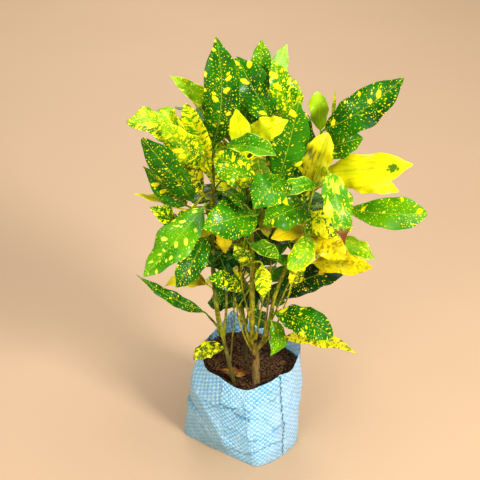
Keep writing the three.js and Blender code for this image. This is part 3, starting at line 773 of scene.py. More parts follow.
def blade_blank():
    """A flat blade, from -1 to 1 across (x) and 0 to 1 along (y)."""
    deselect()
    bpy.ops.mesh.primitive_grid_add(x_subdivisions=BLADE_ACROSS, y_subdivisions=BLADE_ALONG, size=2,
                                    location=(0, 1, 0), calc_uvs=True)
    blade = bpy.context.object
    bpy.ops.object.mode_set(mode="EDIT")
    bpy.ops.mesh.select_all(action="SELECT")
    bpy.ops.transform.resize(value=(1, 0.5, 1), center_override=(0, 0, 0))
    bpy.ops.object.mode_set(mode="OBJECT")
    bpy.ops.object.transform_apply(location=True, scale=True)
    blade.data.uv_layers[0].name = "share"
    bpy.ops.object.shade_smooth()
    return blade


def blade_width(outline, t):
    """The share of the full width at t of the length, a little drawn in before the tip."""
    rise, fall = OUTLINES[outline]
    widest = rise / (rise + fall)
    drawn_out = 1 - 0.25 * math.exp(-((t - 0.93) / 0.05) ** 2)
    return t ** rise * (1 - t) ** fall / (widest ** rise * (1 - widest) ** fall) * drawn_out


# What each leaf draws for itself: how many waves its edges have, their height and how far the edges turn down
# (shares of its width), how deep its lobes are, and its twist from base to tip in degrees.
WAVES = (1.8, 3.4)
RUFFLE = (0.06, 0.13)
CURL = (0.02, 0.12)
LOBES = (0.03, 0.075)
TWIST = (-24, 24)
PADDLE_CALM = 0.4  # of all that in a paddle-shaped leaf
VALLEY = 1.5  # how wide the round bottom of the fold along the midrib is
PUFF = 0.4  # how far the blade bulges between its side veins


class LeafShape:
    """Where the points of one leaf lie, in millimetres."""

    def __init__(self, name, root, away, upward, base, tip, width, bend, face, fold,
                 outline="oval", wild=1.0):
        chance = random.Random(name)
        self.outline, self.width, self.fold = outline, width, math.radians(fold)
        self.start = Vector(base)
        chord = Vector(tip) - self.start
        self.length = chord.length
        self.along = chord.normalized()
        self.side = self.along.cross(compass(*face)).normalized()
        normal = self.side.cross(self.along)
        self.bend = normal * bend[0] + self.side * bend[1]
        reach = (root - self.start).length
        self.stalk = [root, root + away * min(4, 0.3 * reach) + upward * (0.15 * reach),
                      self.start - self.heading(0) * (0.35 * reach), self.start]
        wild *= PADDLE_CALM if outline == "paddle" else 1
        self.waves = chance.uniform(*WAVES)
        self.phase = [chance.uniform(0, TURN) for _ in range(4)]
        self.ruffle = width * chance.uniform(*RUFFLE) * wild
        self.lobes = chance.uniform(*LOBES) * wild
        self.curl = width * chance.uniform(*CURL) * wild
        self.twist = math.radians(chance.uniform(*TWIST)) * wild
        self.patch = chance.randrange(1000) * VEIN_GAP

    def heading(self, t):
        return (self.along * self.length + self.bend * (4 - 8 * t)).normalized()

    def midrib(self, t):
        return self.start + self.along * (self.length * t) + self.bend * (4 * t * (1 - t))

    def cross(self, t):
        """The directions across the blade and up from it."""
        heading = self.heading(t)
        across = Matrix.Rotation(self.twist * (t - 0.35), 3, heading) @ square_to(self.side, heading)
        return across, across.cross(heading)

    def half(self, t, right):
        """Half the width; each side has its own slight lobes."""
        inner = min(max(t, 0.002), 0.9985)
        lobe = self.lobes * math.sin(TURN * self.waves * 1.3 * t + self.phase[2 + right])
        return max(0.25, self.width / 2 * blade_width(self.outline, inner) * (1 + lobe))

    def blade(self, point):
        """Where a point of the blank blade goes."""
        a, t = point.x, point.y
        across, top = self.cross(t)
        half = self.half(t, a > 0)
        s = a * half
        rise = (math.hypot(s, VALLEY) - VALLEY) * math.sin(self.fold)
        rise -= self.curl * abs(a) ** 3 * half * 2 / self.width
        swell = math.sin(math.pi * min(1, max(0, t)))
        rise += self.ruffle * a * a * swell * math.sin(TURN * self.waves * t + self.phase[a > 0])
        climb = t * self.length - abs(s) * VEIN_LEAN
        rise += PUFF * abs(math.sin(math.pi * (climb / VEIN_GAP - 0.5))) * swell * min(1, half / 8)
        return self.midrib(t) + across * (s * math.cos(self.fold)) + top * rise

    def stem(self, point):
        """Where a point of the blank bar goes: the stalk, then the midrib sunk into the blade's underside."""
        u = point.z
        if u <= STALK_SHARE:
            v = u / STALK_SHARE
            a, b, c, d = self.stalk
            w = 1 - v
            centre = a * w ** 3 + b * (3 * w * w * v) + c * (3 * w * v * v) + d * v ** 3
            heading = ((b - a) * w * w + (c - b) * (2 * w * v) + (d - c) * v * v).normalized()
            across = square_to(self.side, heading)
            top = across.cross(heading)
            root_swell, blade_swell = 1 - min(1, v / 0.15), max(0, v - 0.8) / 0.2
            radius = STALK_RADIUS + 0.5 * root_swell + 0.25 * blade_swell
            sink = 0.5 * max(0, v - 0.6)
        else:
            t = (u - STALK_SHARE) / (1 - STALK_SHARE) * MIDRIB_END
            centre = self.midrib(t)
            across, top = self.cross(t)
            radius = 1.05 * (1 - t) ** 0.8 + 0.12
            sink = 0.2 + 0.75 * radius * min(1, 4 * t + 0.2)
        return centre - top * sink + (across * point.x - top * point.y) * radius


def leaf(name, shape, look, slot, *nodes):
    """One leaf, blade and stalk in one piece."""
    piece = copied(BLADE, name, shape.blade)
    flat = piece.data.uv_layers.new(name="skin")
    shares = piece.data.uv_layers["share"].data
    for loop, spot in enumerate(flat.data):
        x, y = shares[loop].uv
        spot.uv = ((2 * x - 1) * shape.half(y, x > 0.5) * MM, (y * shape.length + shape.patch) * MM)
    modified(piece, ("SOLIDIFY", {"thickness": BLADE_THICK * MM, "offset": -1, "material_offset": 1,
                                  "material_offset_rim": 0}), subdivided())
    stem = copied(STALK, "stalk", shape.stem)
    stem.data.uv_layers.new(name="skin")
    for polygon in stem.data.polygons:
        polygon.material_index = 2
    for part in (piece, stem):
        painted(part, *SKINS[look], STALK_SKIN)
    return kept(joined([piece, stem], name), slot, *nodes)


def leaf_root(branch, joint, base):
    """Where a stalk leaves its branch, which way, and the branch's own heading there."""
    stem = ALL_BRANCHES[branch]
    share = stem.share_at(joint)
    place, heading = stem.at(share), stem.heading(share)
    if joint == "tip":
        return place - heading * 0.5, heading, heading
    away = square_to(Vector(base) - place, heading)
    return place + away * (stem.radius(share) * 0.6), away, heading


def in_picture(point):
    """Where a point falls in the picture, in pixels from its upper left corner."""
    x, y, z = (a * MM - b for a, b in zip(point, CAMERA_PLACE))
    down = math.radians(CAMERA_DOWN)
    depth = y * math.cos(down) - z * math.sin(down)
    rise = y * math.sin(down) + z * math.cos(down)
    focal = CAMERA_LENS / CAMERA_FILM * PICTURE_SIDE
    return PICTURE_SIDE / 2 + focal * x / depth, PICTURE_SIDE / 2 - focal * rise / depth


def inside(place, outline):
    """Whether a place in the picture lies within an outline."""
    x, y = place
    crossed = False
    for (x0, y0), (x1, y1) in zip(outline, outline[1:] + outline[:1]):
        if (y0 > y) != (y1 > y) and x < x0 + (x1 - x0) * (y - y0) / (y1 - y0):
            crossed = not crossed
    return crossed


AROUND_CROWN = (65, 295)  # degrees round from -Y: both sides and the back
CROWN_FOOT, CROWN_HEIGHT = 180, 220
STALK_REACH = (14, 34)
FILL_LENGTH = (62, 108)
FILL_SLIM = (0.34, 0.44)  # width by length
FILL_APART = 17  # the least distance between two midribs
TRIES = 300


def rest_of_crown(taken):
    """Rows for the leaves at the sides and the back, clear of the midribs in `taken`."""
    chance = random.Random("crown")
    rows = []
    for branch_name, low, high, count in REST_OF_CROWN:
        branch = ALL_BRANCHES[branch_name]
        for i in range(count):
            for _ in range(TRIES):
                joint = low + (high - low) * (i + chance.random()) / count
                place = branch.at(branch.share_at(joint))
                around = chance.uniform(*AROUND_CROWN)
                height_share = (joint - CROWN_FOOT) / CROWN_HEIGHT
                away = compass(around, chance.uniform(10, 60))
                base = place + away * chance.uniform(*STALK_REACH)
                length = chance.uniform(*FILL_LENGTH)
                pitch = -32 + 84 * height_share + chance.uniform(-30, 30)
                tip = base + compass(around + chance.uniform(-25, 25), pitch) * length
                width = length * chance.uniform(*FILL_SLIM)
                spots = [base.lerp(tip, share) for share in (0, 0.35, 0.7, 1)]
                side = compass(around + 90, 0) * (width * 0.45)
                edges = [spots[1] + side, spots[1] - side, spots[2] + side, spots[2] - side]
                if not all(-112 < p.x < 192 and 2 < p.y < 138 and 130 < p.z < 515 for p in spots + edges[:2]):
                    continue
                if not all(inside(in_picture(p), CROWN_OUTLINE) for p in spots + edges):
                    continue
                if min((a - b).length for a in spots[1:] for b in taken) < FILL_APART:
                    continue
                taken += spots[1:]
                face = (around + (180 if pitch > 0 else 0) + chance.uniform(-30, 30), 84 - abs(pitch) * 0.9)
                rows.append((f"rest_{len(rows) + 1}", branch_name, joint, base, tip, width,
                             (length * chance.uniform(0.02, 0.10), chance.uniform(-5, 5)), face,
                             chance.uniform(8, 18), chance.choice(REST_LOOKS)))
                break
    return rows


SLOTS = {
    "leaf_splashed": ("splashed", "splashed_dark", "splashed_light"),
    "leaf_dusted": ("freckled", "freckled_dark", "freckled_light", "flecked", "flecked_light",
                    "flecked_dense", "fresh", "deep", "edged"),
    "leaf_mottled": ("mottled", "speckled", "spangled", "peppered"),
    "leaf_gold": ("gold", "lemon", "gold_shaded", "gold_marked", "amber", "amber_shaded", "amber_specked"),
    "leaf_striped": ("striped", "striped_light", "blotched", "patched", "rusty"),
    "leaf_lime": ("lime", "pale", "lime_mottled"),
    "leaf_dark": ("dark", "shaded", "olive", "bronze"),
    "dry_leaf": ("dry",),
}
SLOT_OF = {look: slot for slot, looks in SLOTS.items() for look in looks}

# ---------------------------------------------------------------- stems

STEM_VOXEL = 0.55
KNOT_GAP = (9, 20)  # from one leaf scar to the next along a branch
KNOT_LONG = 1.6
TRUNK_KNOTS = [(16, -38, 140), (18, -36, 162), (22, -37, 121)]


def bark(name, low, high, foot, knots=()):
    """Bark that changes from the foot's colour to its own in the lowest centimetres, with brown knots."""
    finish = Finish(name)
    place = finish.object_place()
    _, _, height = finish.split(place)
    long_grain = finish.noise(finish.stretched(place, 1, 1, 0.12), 700, 4)
    cloud = finish.noise(place, 120, 3)
    scar = finish.noise(finish.stretched(place, 0.2, 0.2, 1), 260, 1).step(0.60, 0.66)
    colour = finish.mix(cloud.step(0.35, 0.65), low, high)
    colour = finish.mix((height + (cloud - 0.5) * 0.05).step(0.170, 0.135), colour, foot)
    colour = finish.mix(long_grain.step(0.48, 0.64) * 0.7, colour, (0.060, 0.032, 0.006))
    colour = finish.mix(scar * 0.55, colour, (0.10, 0.05, 0.015))
    for knot in knots:
        spot = tuple(a * MM for a in knot)
        far = finish.node("ShaderNodeVectorMath", {"operation": "DISTANCE"}, place, spot)
        colour = finish.mix((far + (cloud - 0.5) * 0.003).step(0.0040, 0.0020), colour, (0.055, 0.018, 0.008))
    return finish.done(colour, 0.55 + long_grain * 0.2, long_grain + scar * 0.8, rise=0.0005, strength=0.8,
                       specular_ior_level=0.2)


def stem_piece(name, branches, slot, material):
    """The branches of one stem, each a bar laid along its line with swollen joints, melted into one."""
    tubes = []
    for branch_name in branches:
        branch = ALL_BRANCHES[branch_name]
        chance = random.Random(branch_name)
        knots = []
        reached = chance.uniform(4, 12)
        while reached < branch.length:
            knots.append((reached, chance.uniform(0, TURN)))
            reached += chance.uniform(*KNOT_GAP)
        frame_side = square_to(Vector((1, 0, 0)), branch.heading(0.5))

        def place(point, branch=branch, knots=knots, side=frame_side):
            share = point.z
            heading = branch.heading(share)
            across = square_to(side, heading)
            over = heading.cross(across)
            angle = math.atan2(point.y, point.x)
            radius = branch.radius(share)
            for reached, turned in knots:
                far = (share * branch.length - reached) / KNOT_LONG
                if abs(far) < 3:
                    facing = 0.5 + 0.5 * math.cos(angle - turned)
                    swell = 0.12 + 0.45 * facing ** 4
                    radius += math.exp(-far * far) * swell * min(1, branch.radius(share) / 2)
            core = math.hypot(point.x, point.y)
            return branch.at(share) + (across * math.cos(angle) + over * math.sin(angle)) * (radius * core)

        tubes.append(copied(BAR, branch_name, place))
    piece = joined(tubes, f"{name}_wood")
    modified(piece, ("REMESH", {"mode": "VOXEL", "voxel_size": STEM_VOXEL * MM}),
             ("SMOOTH", {"factor": 0.5, "iterations": 3}))
    smooth(piece)
    return kept(painted(piece, material), slot, name)


# ---------------------------------------------------------------- the bag

BAG_COLUMNS = 320
BAG_ROWS = 86
RIDGE = [(0.036, 0.68), (0.060, 0.59), (0.086, 0.50), (0.112, 0.38), (0.139, 0.24), (0.155, 0.06)]
# Creases in the wall: (turn, share of the height) points, depth of the groove, its width, how far the
# cloth above or to the left of it stands out over the other side, and how high a tent it makes.
CREASES = [
    ([(0.147, 1.0), (0.149, 0.92), (0.146, 0.79), (0.143, 0.66)], 0.6, 1.2, 1.1, 1.8),
    ([(0.068, 0.63), (0.094, 0.63), (0.113, 0.61), (0.145, 0.63), (0.184, 0.69), (0.231, 0.76)],
     2.6, 1.3, 2.6, 0.0),
    (RIDGE, 0.0, 1.6, 0.0, 2.8),
    ([(0.043, 0.42), (0.024, 0.485), (0.975, 0.48)], 0.9, 1.4, 3.0, 0.0),
    ([(0.428, 0.88), (0.371, 0.89), (0.317, 0.86), (0.278, 0.68)], 0.5, 1.4, 0.6, 1.0),
    ([(0.270, 0.02), (0.277, 0.10), (0.288, 0.34), (0.296, 0.54), (0.300, 0.64)], 0.0, 2.2, 0.0, 1.6),
    ([(0.275, 0.20), (0.326, 0.24), (0.371, 0.24), (0.416, 0.21)], 1.6, 1.2, 1.4, 0.0),
    ([(0.180, 0.14), (0.230, 0.12), (0.276, 0.20)], 1.2, 1.3, 1.0, 0.4),
    ([(0.165, 0.40), (0.210, 0.44), (0.250, 0.40), (0.288, 0.34)], 0.4, 1.4, 0.4, 0.8),
    ([(0.040, 0.30), (0.075, 0.22), (0.110, 0.06)], 0.9, 1.4, 0.9, 0.4),
    ([(0.335, 0.62), (0.375, 0.45), (0.405, 0.30)], 0.5, 1.4, 0.0, 0.8),
    ([(0.625, 0.80), (0.640, 0.50), (0.665, 0.15)], 0.8, 2.0, 0.6, 0.6),
    ([(0.640, 0.75), (0.700, 0.62), (0.780, 0.66)], 1.4, 1.8, 2.2, 0.8),
    ([(0.800, 0.20), (0.760, 0.55), (0.790, 0.95)], 1.0, 2.0, 1.2, 2.0),
    ([(0.900, 0.95), (0.870, 0.60), (0.930, 0.25)], 1.2, 1.8, 1.8, 1.2),
]
CREASE_REACH = 36  # past which a crease has no effect
LEDGE_REACH = 9
TENT_REACH = 13
CREASE_FADE = 9  # over what length a crease runs out at its last point
SMOOTH_SIDE = (0.56, 0.06)  # where the cloth hangs without bumps, and over how much of a turn
BUMPS = ((1.6, 1.0), (0.5, 3.1))  # their height, and how fine they are
SEAM_DIP, SEAM_DIP_WIDTH = 1.5, 3
SEAM_PUCKER, SEAM_PUCKER_WIDTH = 0.7, 9
TUCK = (0.012, 0.040, 7.0)  # where the rim folds inward, over how much of a turn, how far
EAR = (0.786, 0.016, 8.0)  # the back corner: where it stands up, over how much of a turn, how far
SEAM = [(0.430, 1.0), (0.423, 0.73), (0.421, 0.48), (0.420, 0.22), (0.418, 0.02)]
floor_line = Line(BAG_FLOOR_LINE, closed=True)
rim_line = Line(BAG_RIM_LINE, closed=True)
BAG_ROUND = 402  # the length round the bag at half height
BAG_BOTTOM_RADIUS = 60
# The part of the wall beside the ridge, whose lower-left side gets painted shade.
RIDGE_STRETCH = (0.12, 0.30)  # how far before turn 0 the part of the wall beside the ridge starts, its length


def wall_point(turn, level, inset=0.0):
    """A point of the bag's plain wall, and which way it faces."""
    low, high = floor_line.at(turn), rim_line.at(turn)
    heading = floor_line.heading(turn).lerp(rim_line.heading(turn), level)
    outward = Vector((heading.y, -heading.x, 0)).normalized()
    point = low.lerp(high, level) + outward * (BAG_SWELL * math.sin(math.pi * level) - inset)
    point.z = high.z * level
    return point, outward


def far_from(turn, level, points):
    """How far a place on the wall is from a line drawn on it, in millimetres, on which side of it, and how
    far its nearest point on the line is from the line's end."""
    height = rim_line.at(turn).z
    best, side, left = 1e9, 1, 0
    end_x, end_y = (((points[-1][0] - turn + 0.5) % 1) - 0.5) * BAG_ROUND, (points[-1][1] - level) * height
    for (t0, l0), (t1, l1) in zip(points, points[1:]):
        ax, ay = (((t0 - turn + 0.5) % 1) - 0.5) * BAG_ROUND, (l0 - level) * height
        bx, by = (((t1 - turn + 0.5) % 1) - 0.5) * BAG_ROUND, (l1 - level) * height
        dx, dy = bx - ax, by - ay
        part = max(0, min(1, -(ax * dx + ay * dy) / (dx * dx + dy * dy)))
        far = math.hypot(ax + dx * part, ay + dy * part)
        if far < best:
            best, side = far, (ax * dy - ay * dx) / math.hypot(dx, dy)
            left = math.hypot(ax + dx * part - end_x, ay + dy * part - end_y)
    return best, side, left


def near(turn, row):
    """1 at the turn that the row starts with, falling off to both sides."""
    return math.exp(-((((turn - row[0] + 0.5) % 1) - 0.5) / row[1]) ** 2)


def bag_wall(turn, level):
    """A point of the wall with its creases, tucked rim and small unevenness, which way the wall faces there,
    and how deep in a crease the place is."""
    point, outward = wall_point(turn, level)
    push = 0.0
    fold = 0.0
    for points, depth, width, ledge, tent in CREASES:
        far, side, left = far_from(turn, level, points)
        if far < CREASE_REACH:
            fade = min(1, left / CREASE_FADE)
            groove = math.exp(-(far / width) ** 2) * fade
            push -= depth * groove
            push += ledge * math.exp(-far / LEDGE_REACH) * (0.6 * math.tanh(side / 0.8) + 0.2) * fade
            push += tent * math.exp(-far / TENT_REACH) * fade
            # fold: how deep in a crease; the weave paints it as shade
            fold = max(fold, groove * min(1, depth / 1.5))
    free = min(1, level * 6) * (1 - 0.8 * near(turn, SMOOTH_SIDE))
    place = Vector((point.x * 0.035, point.y * 0.035, point.z * 0.03))
    for height, fineness in BUMPS:
        push += height * noise.noise(place * fineness) * free
    seam = far_from(turn, level, SEAM)[0]
    push -= SEAM_DIP * math.exp(-(seam / SEAM_DIP_WIDTH) ** 2)
    push += SEAM_PUCKER * math.exp(-(seam / SEAM_PUCKER_WIDTH) ** 2) * math.sin(level * 62) * free
    # the seam's dip gets the same painted shade
    fold = max(fold, 0.45 * math.exp(-(seam / 1.8) ** 2))
    push -= TUCK[2] * near(turn, TUCK) * max(0, (level - 0.90) / 0.10) ** 1.3
    point.z += EAR[2] * near(turn, EAR) * max(0, (level - 0.8) / 0.2)
    return point + outward * push, outward, fold


def tape_lines(turn, level):
    """The two ways that the tapes lie there, as the change along the wall and up it for one tape each."""
    fold_level = 0.615 + max(0, turn - 0.147) * 0.9 + max(0, 0.108 - turn) * 1.1
    if 0.012 < turn < 0.149 and level > fold_level:  # the turned-over corner
        across, up = Vector((6.6, 3.5)), Vector((0, 5.2))
        return (across + up) / 2, (up - across) / 2
    if turn < 0.15 and level < 0.76 - turn * 2.4:
        return Vector((4.2, -0.4)), Vector((0.5, 3.2))
    if turn < 0.262:
        return Vector((4.2, 0.2)), Vector((0.2, 3.1))
    if turn < 0.431:
        return Vector((4.7, -0.2)), Vector((0.4, 2.9))
    return Vector((4.0, 0.1)), Vector((0, 3.3))


def bag_piece():
    """The bag: walls and bottom of one sheet, with the weave's map and a map of the painted shade in its
    creases and on the side below the ridge.
    """
    bag = cylinder(BAG_COLUMNS, "NGON")
    chosen(bag, lambda face: face.normal.z > 0.9, "FACE")
    bpy.ops.mesh.delete(type="ONLY_FACE")
    bpy.ops.object.mode_set(mode="OBJECT")
    cut_across(bag, BAG_ROWS - 1)
    inset_rings(bag, -1, 11, 0.085)
    bag.data.uv_layers.new(name="cloth")
    cloth = bag.data.uv_layers["cloth"]
    for polygon in bag.data.polygons:
        middle = polygon.center
        turned = turn_of(middle)
        flat = abs(polygon.normal.z) > 0.5
        first, second = tape_lines(turned, middle.z)
        area = first.x * second.y - first.y * second.x
        for loop in polygon.loop_indices:
            co = bag.data.vertices[bag.data.loops[loop].vertex_index].co
            turn = turn_of(co)
            if flat:
                cloth.data[loop].uv = (co.x * BAG_BOTTOM_RADIUS / TAPE, co.y * BAG_BOTTOM_RADIUS / TAPE)
                continue
            x = (turn + round(turned - turn)) * BAG_ROUND
            y = rim_line.at(turn).z * co.z
            cloth.data[loop].uv = ((x * second.y - y * second.x) / area, (y * first.x - x * first.y) / area)
    middle = Vector(BAG_MIDDLE)
    painted_shade = []
    for vertex in bag.data.vertices:
        turn, level, core = turn_of(vertex.co), vertex.co.z, math.hypot(vertex.co.x, vertex.co.y)
        if level < 1e-4:
            edge, _ = wall_point(turn, 0)
            vertex.co = middle.lerp(edge, core) * MM
            painted_shade.append((0.3, 0))
        else:
            place, _, fold = bag_wall(turn, level)
            vertex.co = place * MM
            # painted_shade: how deep in a crease, and whether the place lies below and left of the ridge,
            # which is painted in shade
            beside_ridge = (turn + RIDGE_STRETCH[0]) % 1 < RIDGE_STRETCH[1]
            above = far_from(turn, level, RIDGE)[1] if beside_ridge else 99
            painted_shade.append((fold, 1 / (1 + math.exp(max(-40, min(40, above)) / 2))))
    folds = bag.data.uv_layers.new(name="folds")
    for loop, spot in zip(bag.data.loops, folds.data):
        spot.uv = painted_shade[loop.vertex_index]
    modified(bag, ("SOLIDIFY", {"thickness": BAG_CLOTH * MM, "offset": -1}))
    bag.name = "grow_bag"
    smooth(bag)
    kept(painted(bag, woven_sheet()), "bag_weave", "bag")
    return bag


def turn_of(point):
    """The share of a turn from -X, round by -Y."""
    return (math.atan2(point.y, point.x) / TURN - 0.5) % 1


TAPE_BLUES = (0.15, 0.50, 0.86), (0.26, 0.60, 0.94)
TAPE_WHITES = (0.42, 0.80, 1.0), (0.57, 0.91, 1.0)
GAP_BLUE = (0.14, 0.40, 0.62)
SHADED_SIDE = (0.22, 0.34, 0.34)
PAINTED_LIT_SIDE = (0.58, 0.74, 0.98)
FOLD_SHADE = (0.03, 0.14, 0.24)
CREASE_WHITE = (0.70, 0.92, 0.98)
EARTH_STAIN = (0.20, 0.26, 0.24)


def woven_sheet():
    """A plain weave of flat tapes, light blue ones one way and white ones the other. The map counts tapes."""
    finish = Finish("woven sheet")
    place = finish.object_place()
    u, v, _ = finish.split(finish.wobbled(finish.uv("cloth"), 0.25, 0.22, flat=True))
    across, up = u % 1, v % 1
    over = ((u - across + v - up) % 2).step(0.4, 0.6)
    arch_across = (across * math.pi).sine()
    arch_up = (up * math.pi).sine()
    crown = over * arch_across * (0.4 + arch_up * 0.6) + (1 - over) * arch_up * (0.4 + arch_across * 0.6)
    gap = crown.step(0.42, 0.05)
    tone = finish.noise(place, 35, 3)
    fine = finish.noise(finish.together(u * 0.7, v * 0.7), 1.0, 0)
    blue = finish.mix(tone.step(0.3, 0.7), *TAPE_BLUES)
    white = finish.mix(fine.step(0.3, 0.7), *TAPE_WHITES)
    colour = finish.mix(over, white, blue)
    colour = finish.mix(gap * 0.35, colour, GAP_BLUE)
    x, _, height = finish.split(place)
    fold, shade, _ = finish.split(finish.uv("folds"))
    # Painted shade: the panel below and left of the ridge, which faces away from the key lamp, is greyed
    colour = finish.mix(shade * 0.55, colour, SHADED_SIDE)
    # Painted light: the right side, toward the key lamp, is paler and bluer
    lit_side = (x + (tone - 0.5) * 0.05).step(0.025, 0.06)
    colour = finish.mix(lit_side * 0.35, colour, PAINTED_LIT_SIDE)
    # Painted shade in the creases and along the seam's dip
    colour = finish.mix(fold * 0.75, colour, FOLD_SHADE)
    crumple = abs(finish.noise(place, 62, 2) - 0.5).step(0.0, 0.07)
    colour = finish.mix((1 - crumple) * 0.16, colour, CREASE_WHITE)
    smear = finish.noise(place, 90, 5).step(0.58, 0.74)
    foot = (height + (tone - 0.5) * 0.03).step(0.03, 0.0)
    colour = finish.mix(smear * 0.22 + foot * 0.25, colour, EARTH_STAIN)
    return finish.done(colour, 0.40 + tone * 0.15, crown + crumple * 1.4, rise=0.0007, strength=0.8,
                       specular_ior_level=0.3)


STITCHES = 19
STITCH_LENGTH = 0.040  # as a share of the seam's
SEAM_WIDE, SEAM_PROUD = 1.5, 0.75
SEAM_LONG = 112


def seam_pieces():
    """The sewn ridge down the front of the bag, and the stitches along it."""
    line = Line([(turn, level, 0) for turn, level in SEAM])

    def on_seam(share, proud):
        turn, level, _ = line.at(share)
        point, outward, _ = bag_wall(turn, min(level, 0.995))
        return point + outward * proud, outward

    def place(point):
        share = point.z
        centre, outward = on_seam(share, 0.1)
        side = Vector((-outward.y, outward.x, 0))
        taper = min(1, 12 * share + 0.3, 12 * (1 - share) + 0.3)
        return centre + side * (point.x * SEAM_WIDE * taper) + outward * (point.y * SEAM_PROUD * taper)

    ridge = copied(BAR, "bag_seam", place)
    smooth(ridge)
    cloth = ridge.data.uv_layers.new(name="cloth")
    shares = ridge.data.uv_layers["share"].data
    for loop, spot in enumerate(cloth.data):
        spot.uv = (shares[loop].uv.x * 6 / TAPE, shares[loop].uv.y * SEAM_LONG / TAPE)
    # the seam's ridge gets half the crease darkening
    for spot in ridge.data.uv_layers.new(name="folds").data:
        spot.uv = (0.5, 0)
    kept(painted(ridge, bpy.data.materials["woven sheet"]), "bag_weave")

    stitches = []
    for i in range(STITCHES):
        share = (i + 0.6) / (STITCHES + 0.2)

        def stitch(point, share=share):
            here = share + (point.z - 0.5) * STITCH_LENGTH
            centre, outward = on_seam(here, 1.0 - 0.6 * abs(2 * point.z - 1) ** 3)
            side = Vector((-outward.y, outward.x, 0))
            return centre + side * (point.x * 0.6) + outward * (point.y * 0.4)

        stitches.append(copied(THREAD, "stitch", stitch))
    thread = joined(stitches, "seam_thread")
    smooth(thread)
    finish = Finish("green thread")
    twist = finish.noise(finish.stretched(finish.object_place(), 1, 1, 2), 900)
    colour = finish.mix(twist, (0.008, 0.05, 0.03), (0.03, 0.14, 0.09))
    kept(painted(thread, finish.done(colour, 0.6 + twist * 0.2, twist, rise=0.0002)), "bag_weave")


# ---------------------------------------------------------------- the soil

CRUMBS = 900
SOIL_FOOT = 3.0  # the soil's underside above the floor
SOIL_ROUGH = ((1.5, 0.11), (0.9, 0.33), (0.5, 0.9))  # height of its unevenness, and how fine it is


def soil_height(turn, share):
    """The height of the soil's surface at a share of the way from its middle to the bag."""
    angle = TURN * turn
    lumps = 1.2 * math.sin(5 * angle + 4 * share) + 0.9 * math.sin(9 * angle - 7 * share)
    rise = SOIL_RISE * share ** 2 * max(0, -math.sin(angle))
    return SOIL_TOP + SOIL_MOUND * (1 - share ** 2) + lumps * share + rise


def soil_point(turn, share, up=1.0):
    """A point of the soil: on its surface where up is 1, on its underside where up is 0."""
    height = SOIL_FOOT + (soil_height(turn, share) - SOIL_FOOT) * up
    middle = Vector(SOIL_MIDDLE)
    middle.z = height
    edge, _ = wall_point(turn, height / rim_line.at(turn).z, SOIL_GAP + 1.0)
    edge.z = height
    point = middle.lerp(edge, share)
    if up == 1:
        rough = Vector((point.x, point.y, 0))
        point.z += sum(height * noise.noise(rough * fineness) for height, fineness in SOIL_ROUGH)
    return point


def soil_piece():
    """The soil and the loose crumbs on it."""
    soil = cylinder(120, "NGON")
    inset_rings(soil, 1, 24, 0.04)
    for vertex in soil.data.vertices:
        share = min(1, math.hypot(vertex.co.x, vertex.co.y))
        vertex.co = soil_point(turn_of(vertex.co), share, vertex.co.z) * MM
    modified(soil, subdivided())
    smooth(soil)
    soil.name = "potting_soil"
    kept(painted(soil, soil_skin("soil")), "soil", "soil")

    deselect()
    bpy.ops.mesh.primitive_ico_sphere_add(subdivisions=1, radius=1)
    blank = bpy.context.object
    chance = random.Random("crumbs")
    crumbs = []
    for i in range(CRUMBS):
        spot = soil_point(chance.random(), 0.985 * math.sqrt(chance.random()))
        size = 0.6 + 2.2 * chance.random() ** 3
        tilt = Matrix.Rotation(chance.uniform(0, TURN), 3, Vector([chance.uniform(-1, 1) for _ in range(3)]))
        shape = Vector([chance.uniform(0.6, 1.2) for _ in range(3)]) * size

        def place(point, spot=spot, tilt=tilt, shape=shape):
            return spot + tilt @ Vector([a * b for a, b in zip(point, shape)])

        crumbs.append(copied(blank, "crumb", place))
    bpy.data.objects.remove(blank)
    heap = joined(crumbs, "soil_crumbs")
    kept(painted(heap, soil_skin("crumbs")), "soil")


def soil_skin(name):
    finish = Finish(name)
    place = finish.object_place()
    grain = finish.noise(place, 420, 6)
    cloud = finish.noise(place, 90, 3)
    colour = finish.mix(grain.step(0.40, 0.68), (0.009, 0.005, 0.0025), (0.185, 0.086, 0.030))
    colour = finish.mix(cloud.step(0.5, 0.72) * 0.45, colour, (0.12, 0.055, 0.030))
    fleck = finish.node("ShaderNodeTexVoronoi", {}, Vector=place, Scale=330)
    chance = finish.cell_draws(fleck)[0]
    colour = finish.mix(fleck.step(0.32, 0.18) * chance.step(0.80, 0.86) * 0.6, colour, (0.30, 0.17, 0.10))
    return finish.done(colour, 0.85 + grain * 0.1, grain, rise=0.0009, strength=0.8, specular_ior_level=0.15)


# ---------------------------------------------------------------- put together

ALL_BRANCHES = {name: Branch(*row) for name, row in {**BRANCHES, **SHOOTS}.items()}
BLADE = blade_blank()
STALK = strut(8, STALK_CUTS)
BAR = strut(14, 199)
THREAD = strut(6, 5)
SKINS = {look: (leaf_skin(look, False), leaf_skin(look, True)) for look in LOOKS}
STALK_SKIN = stalk_skin()

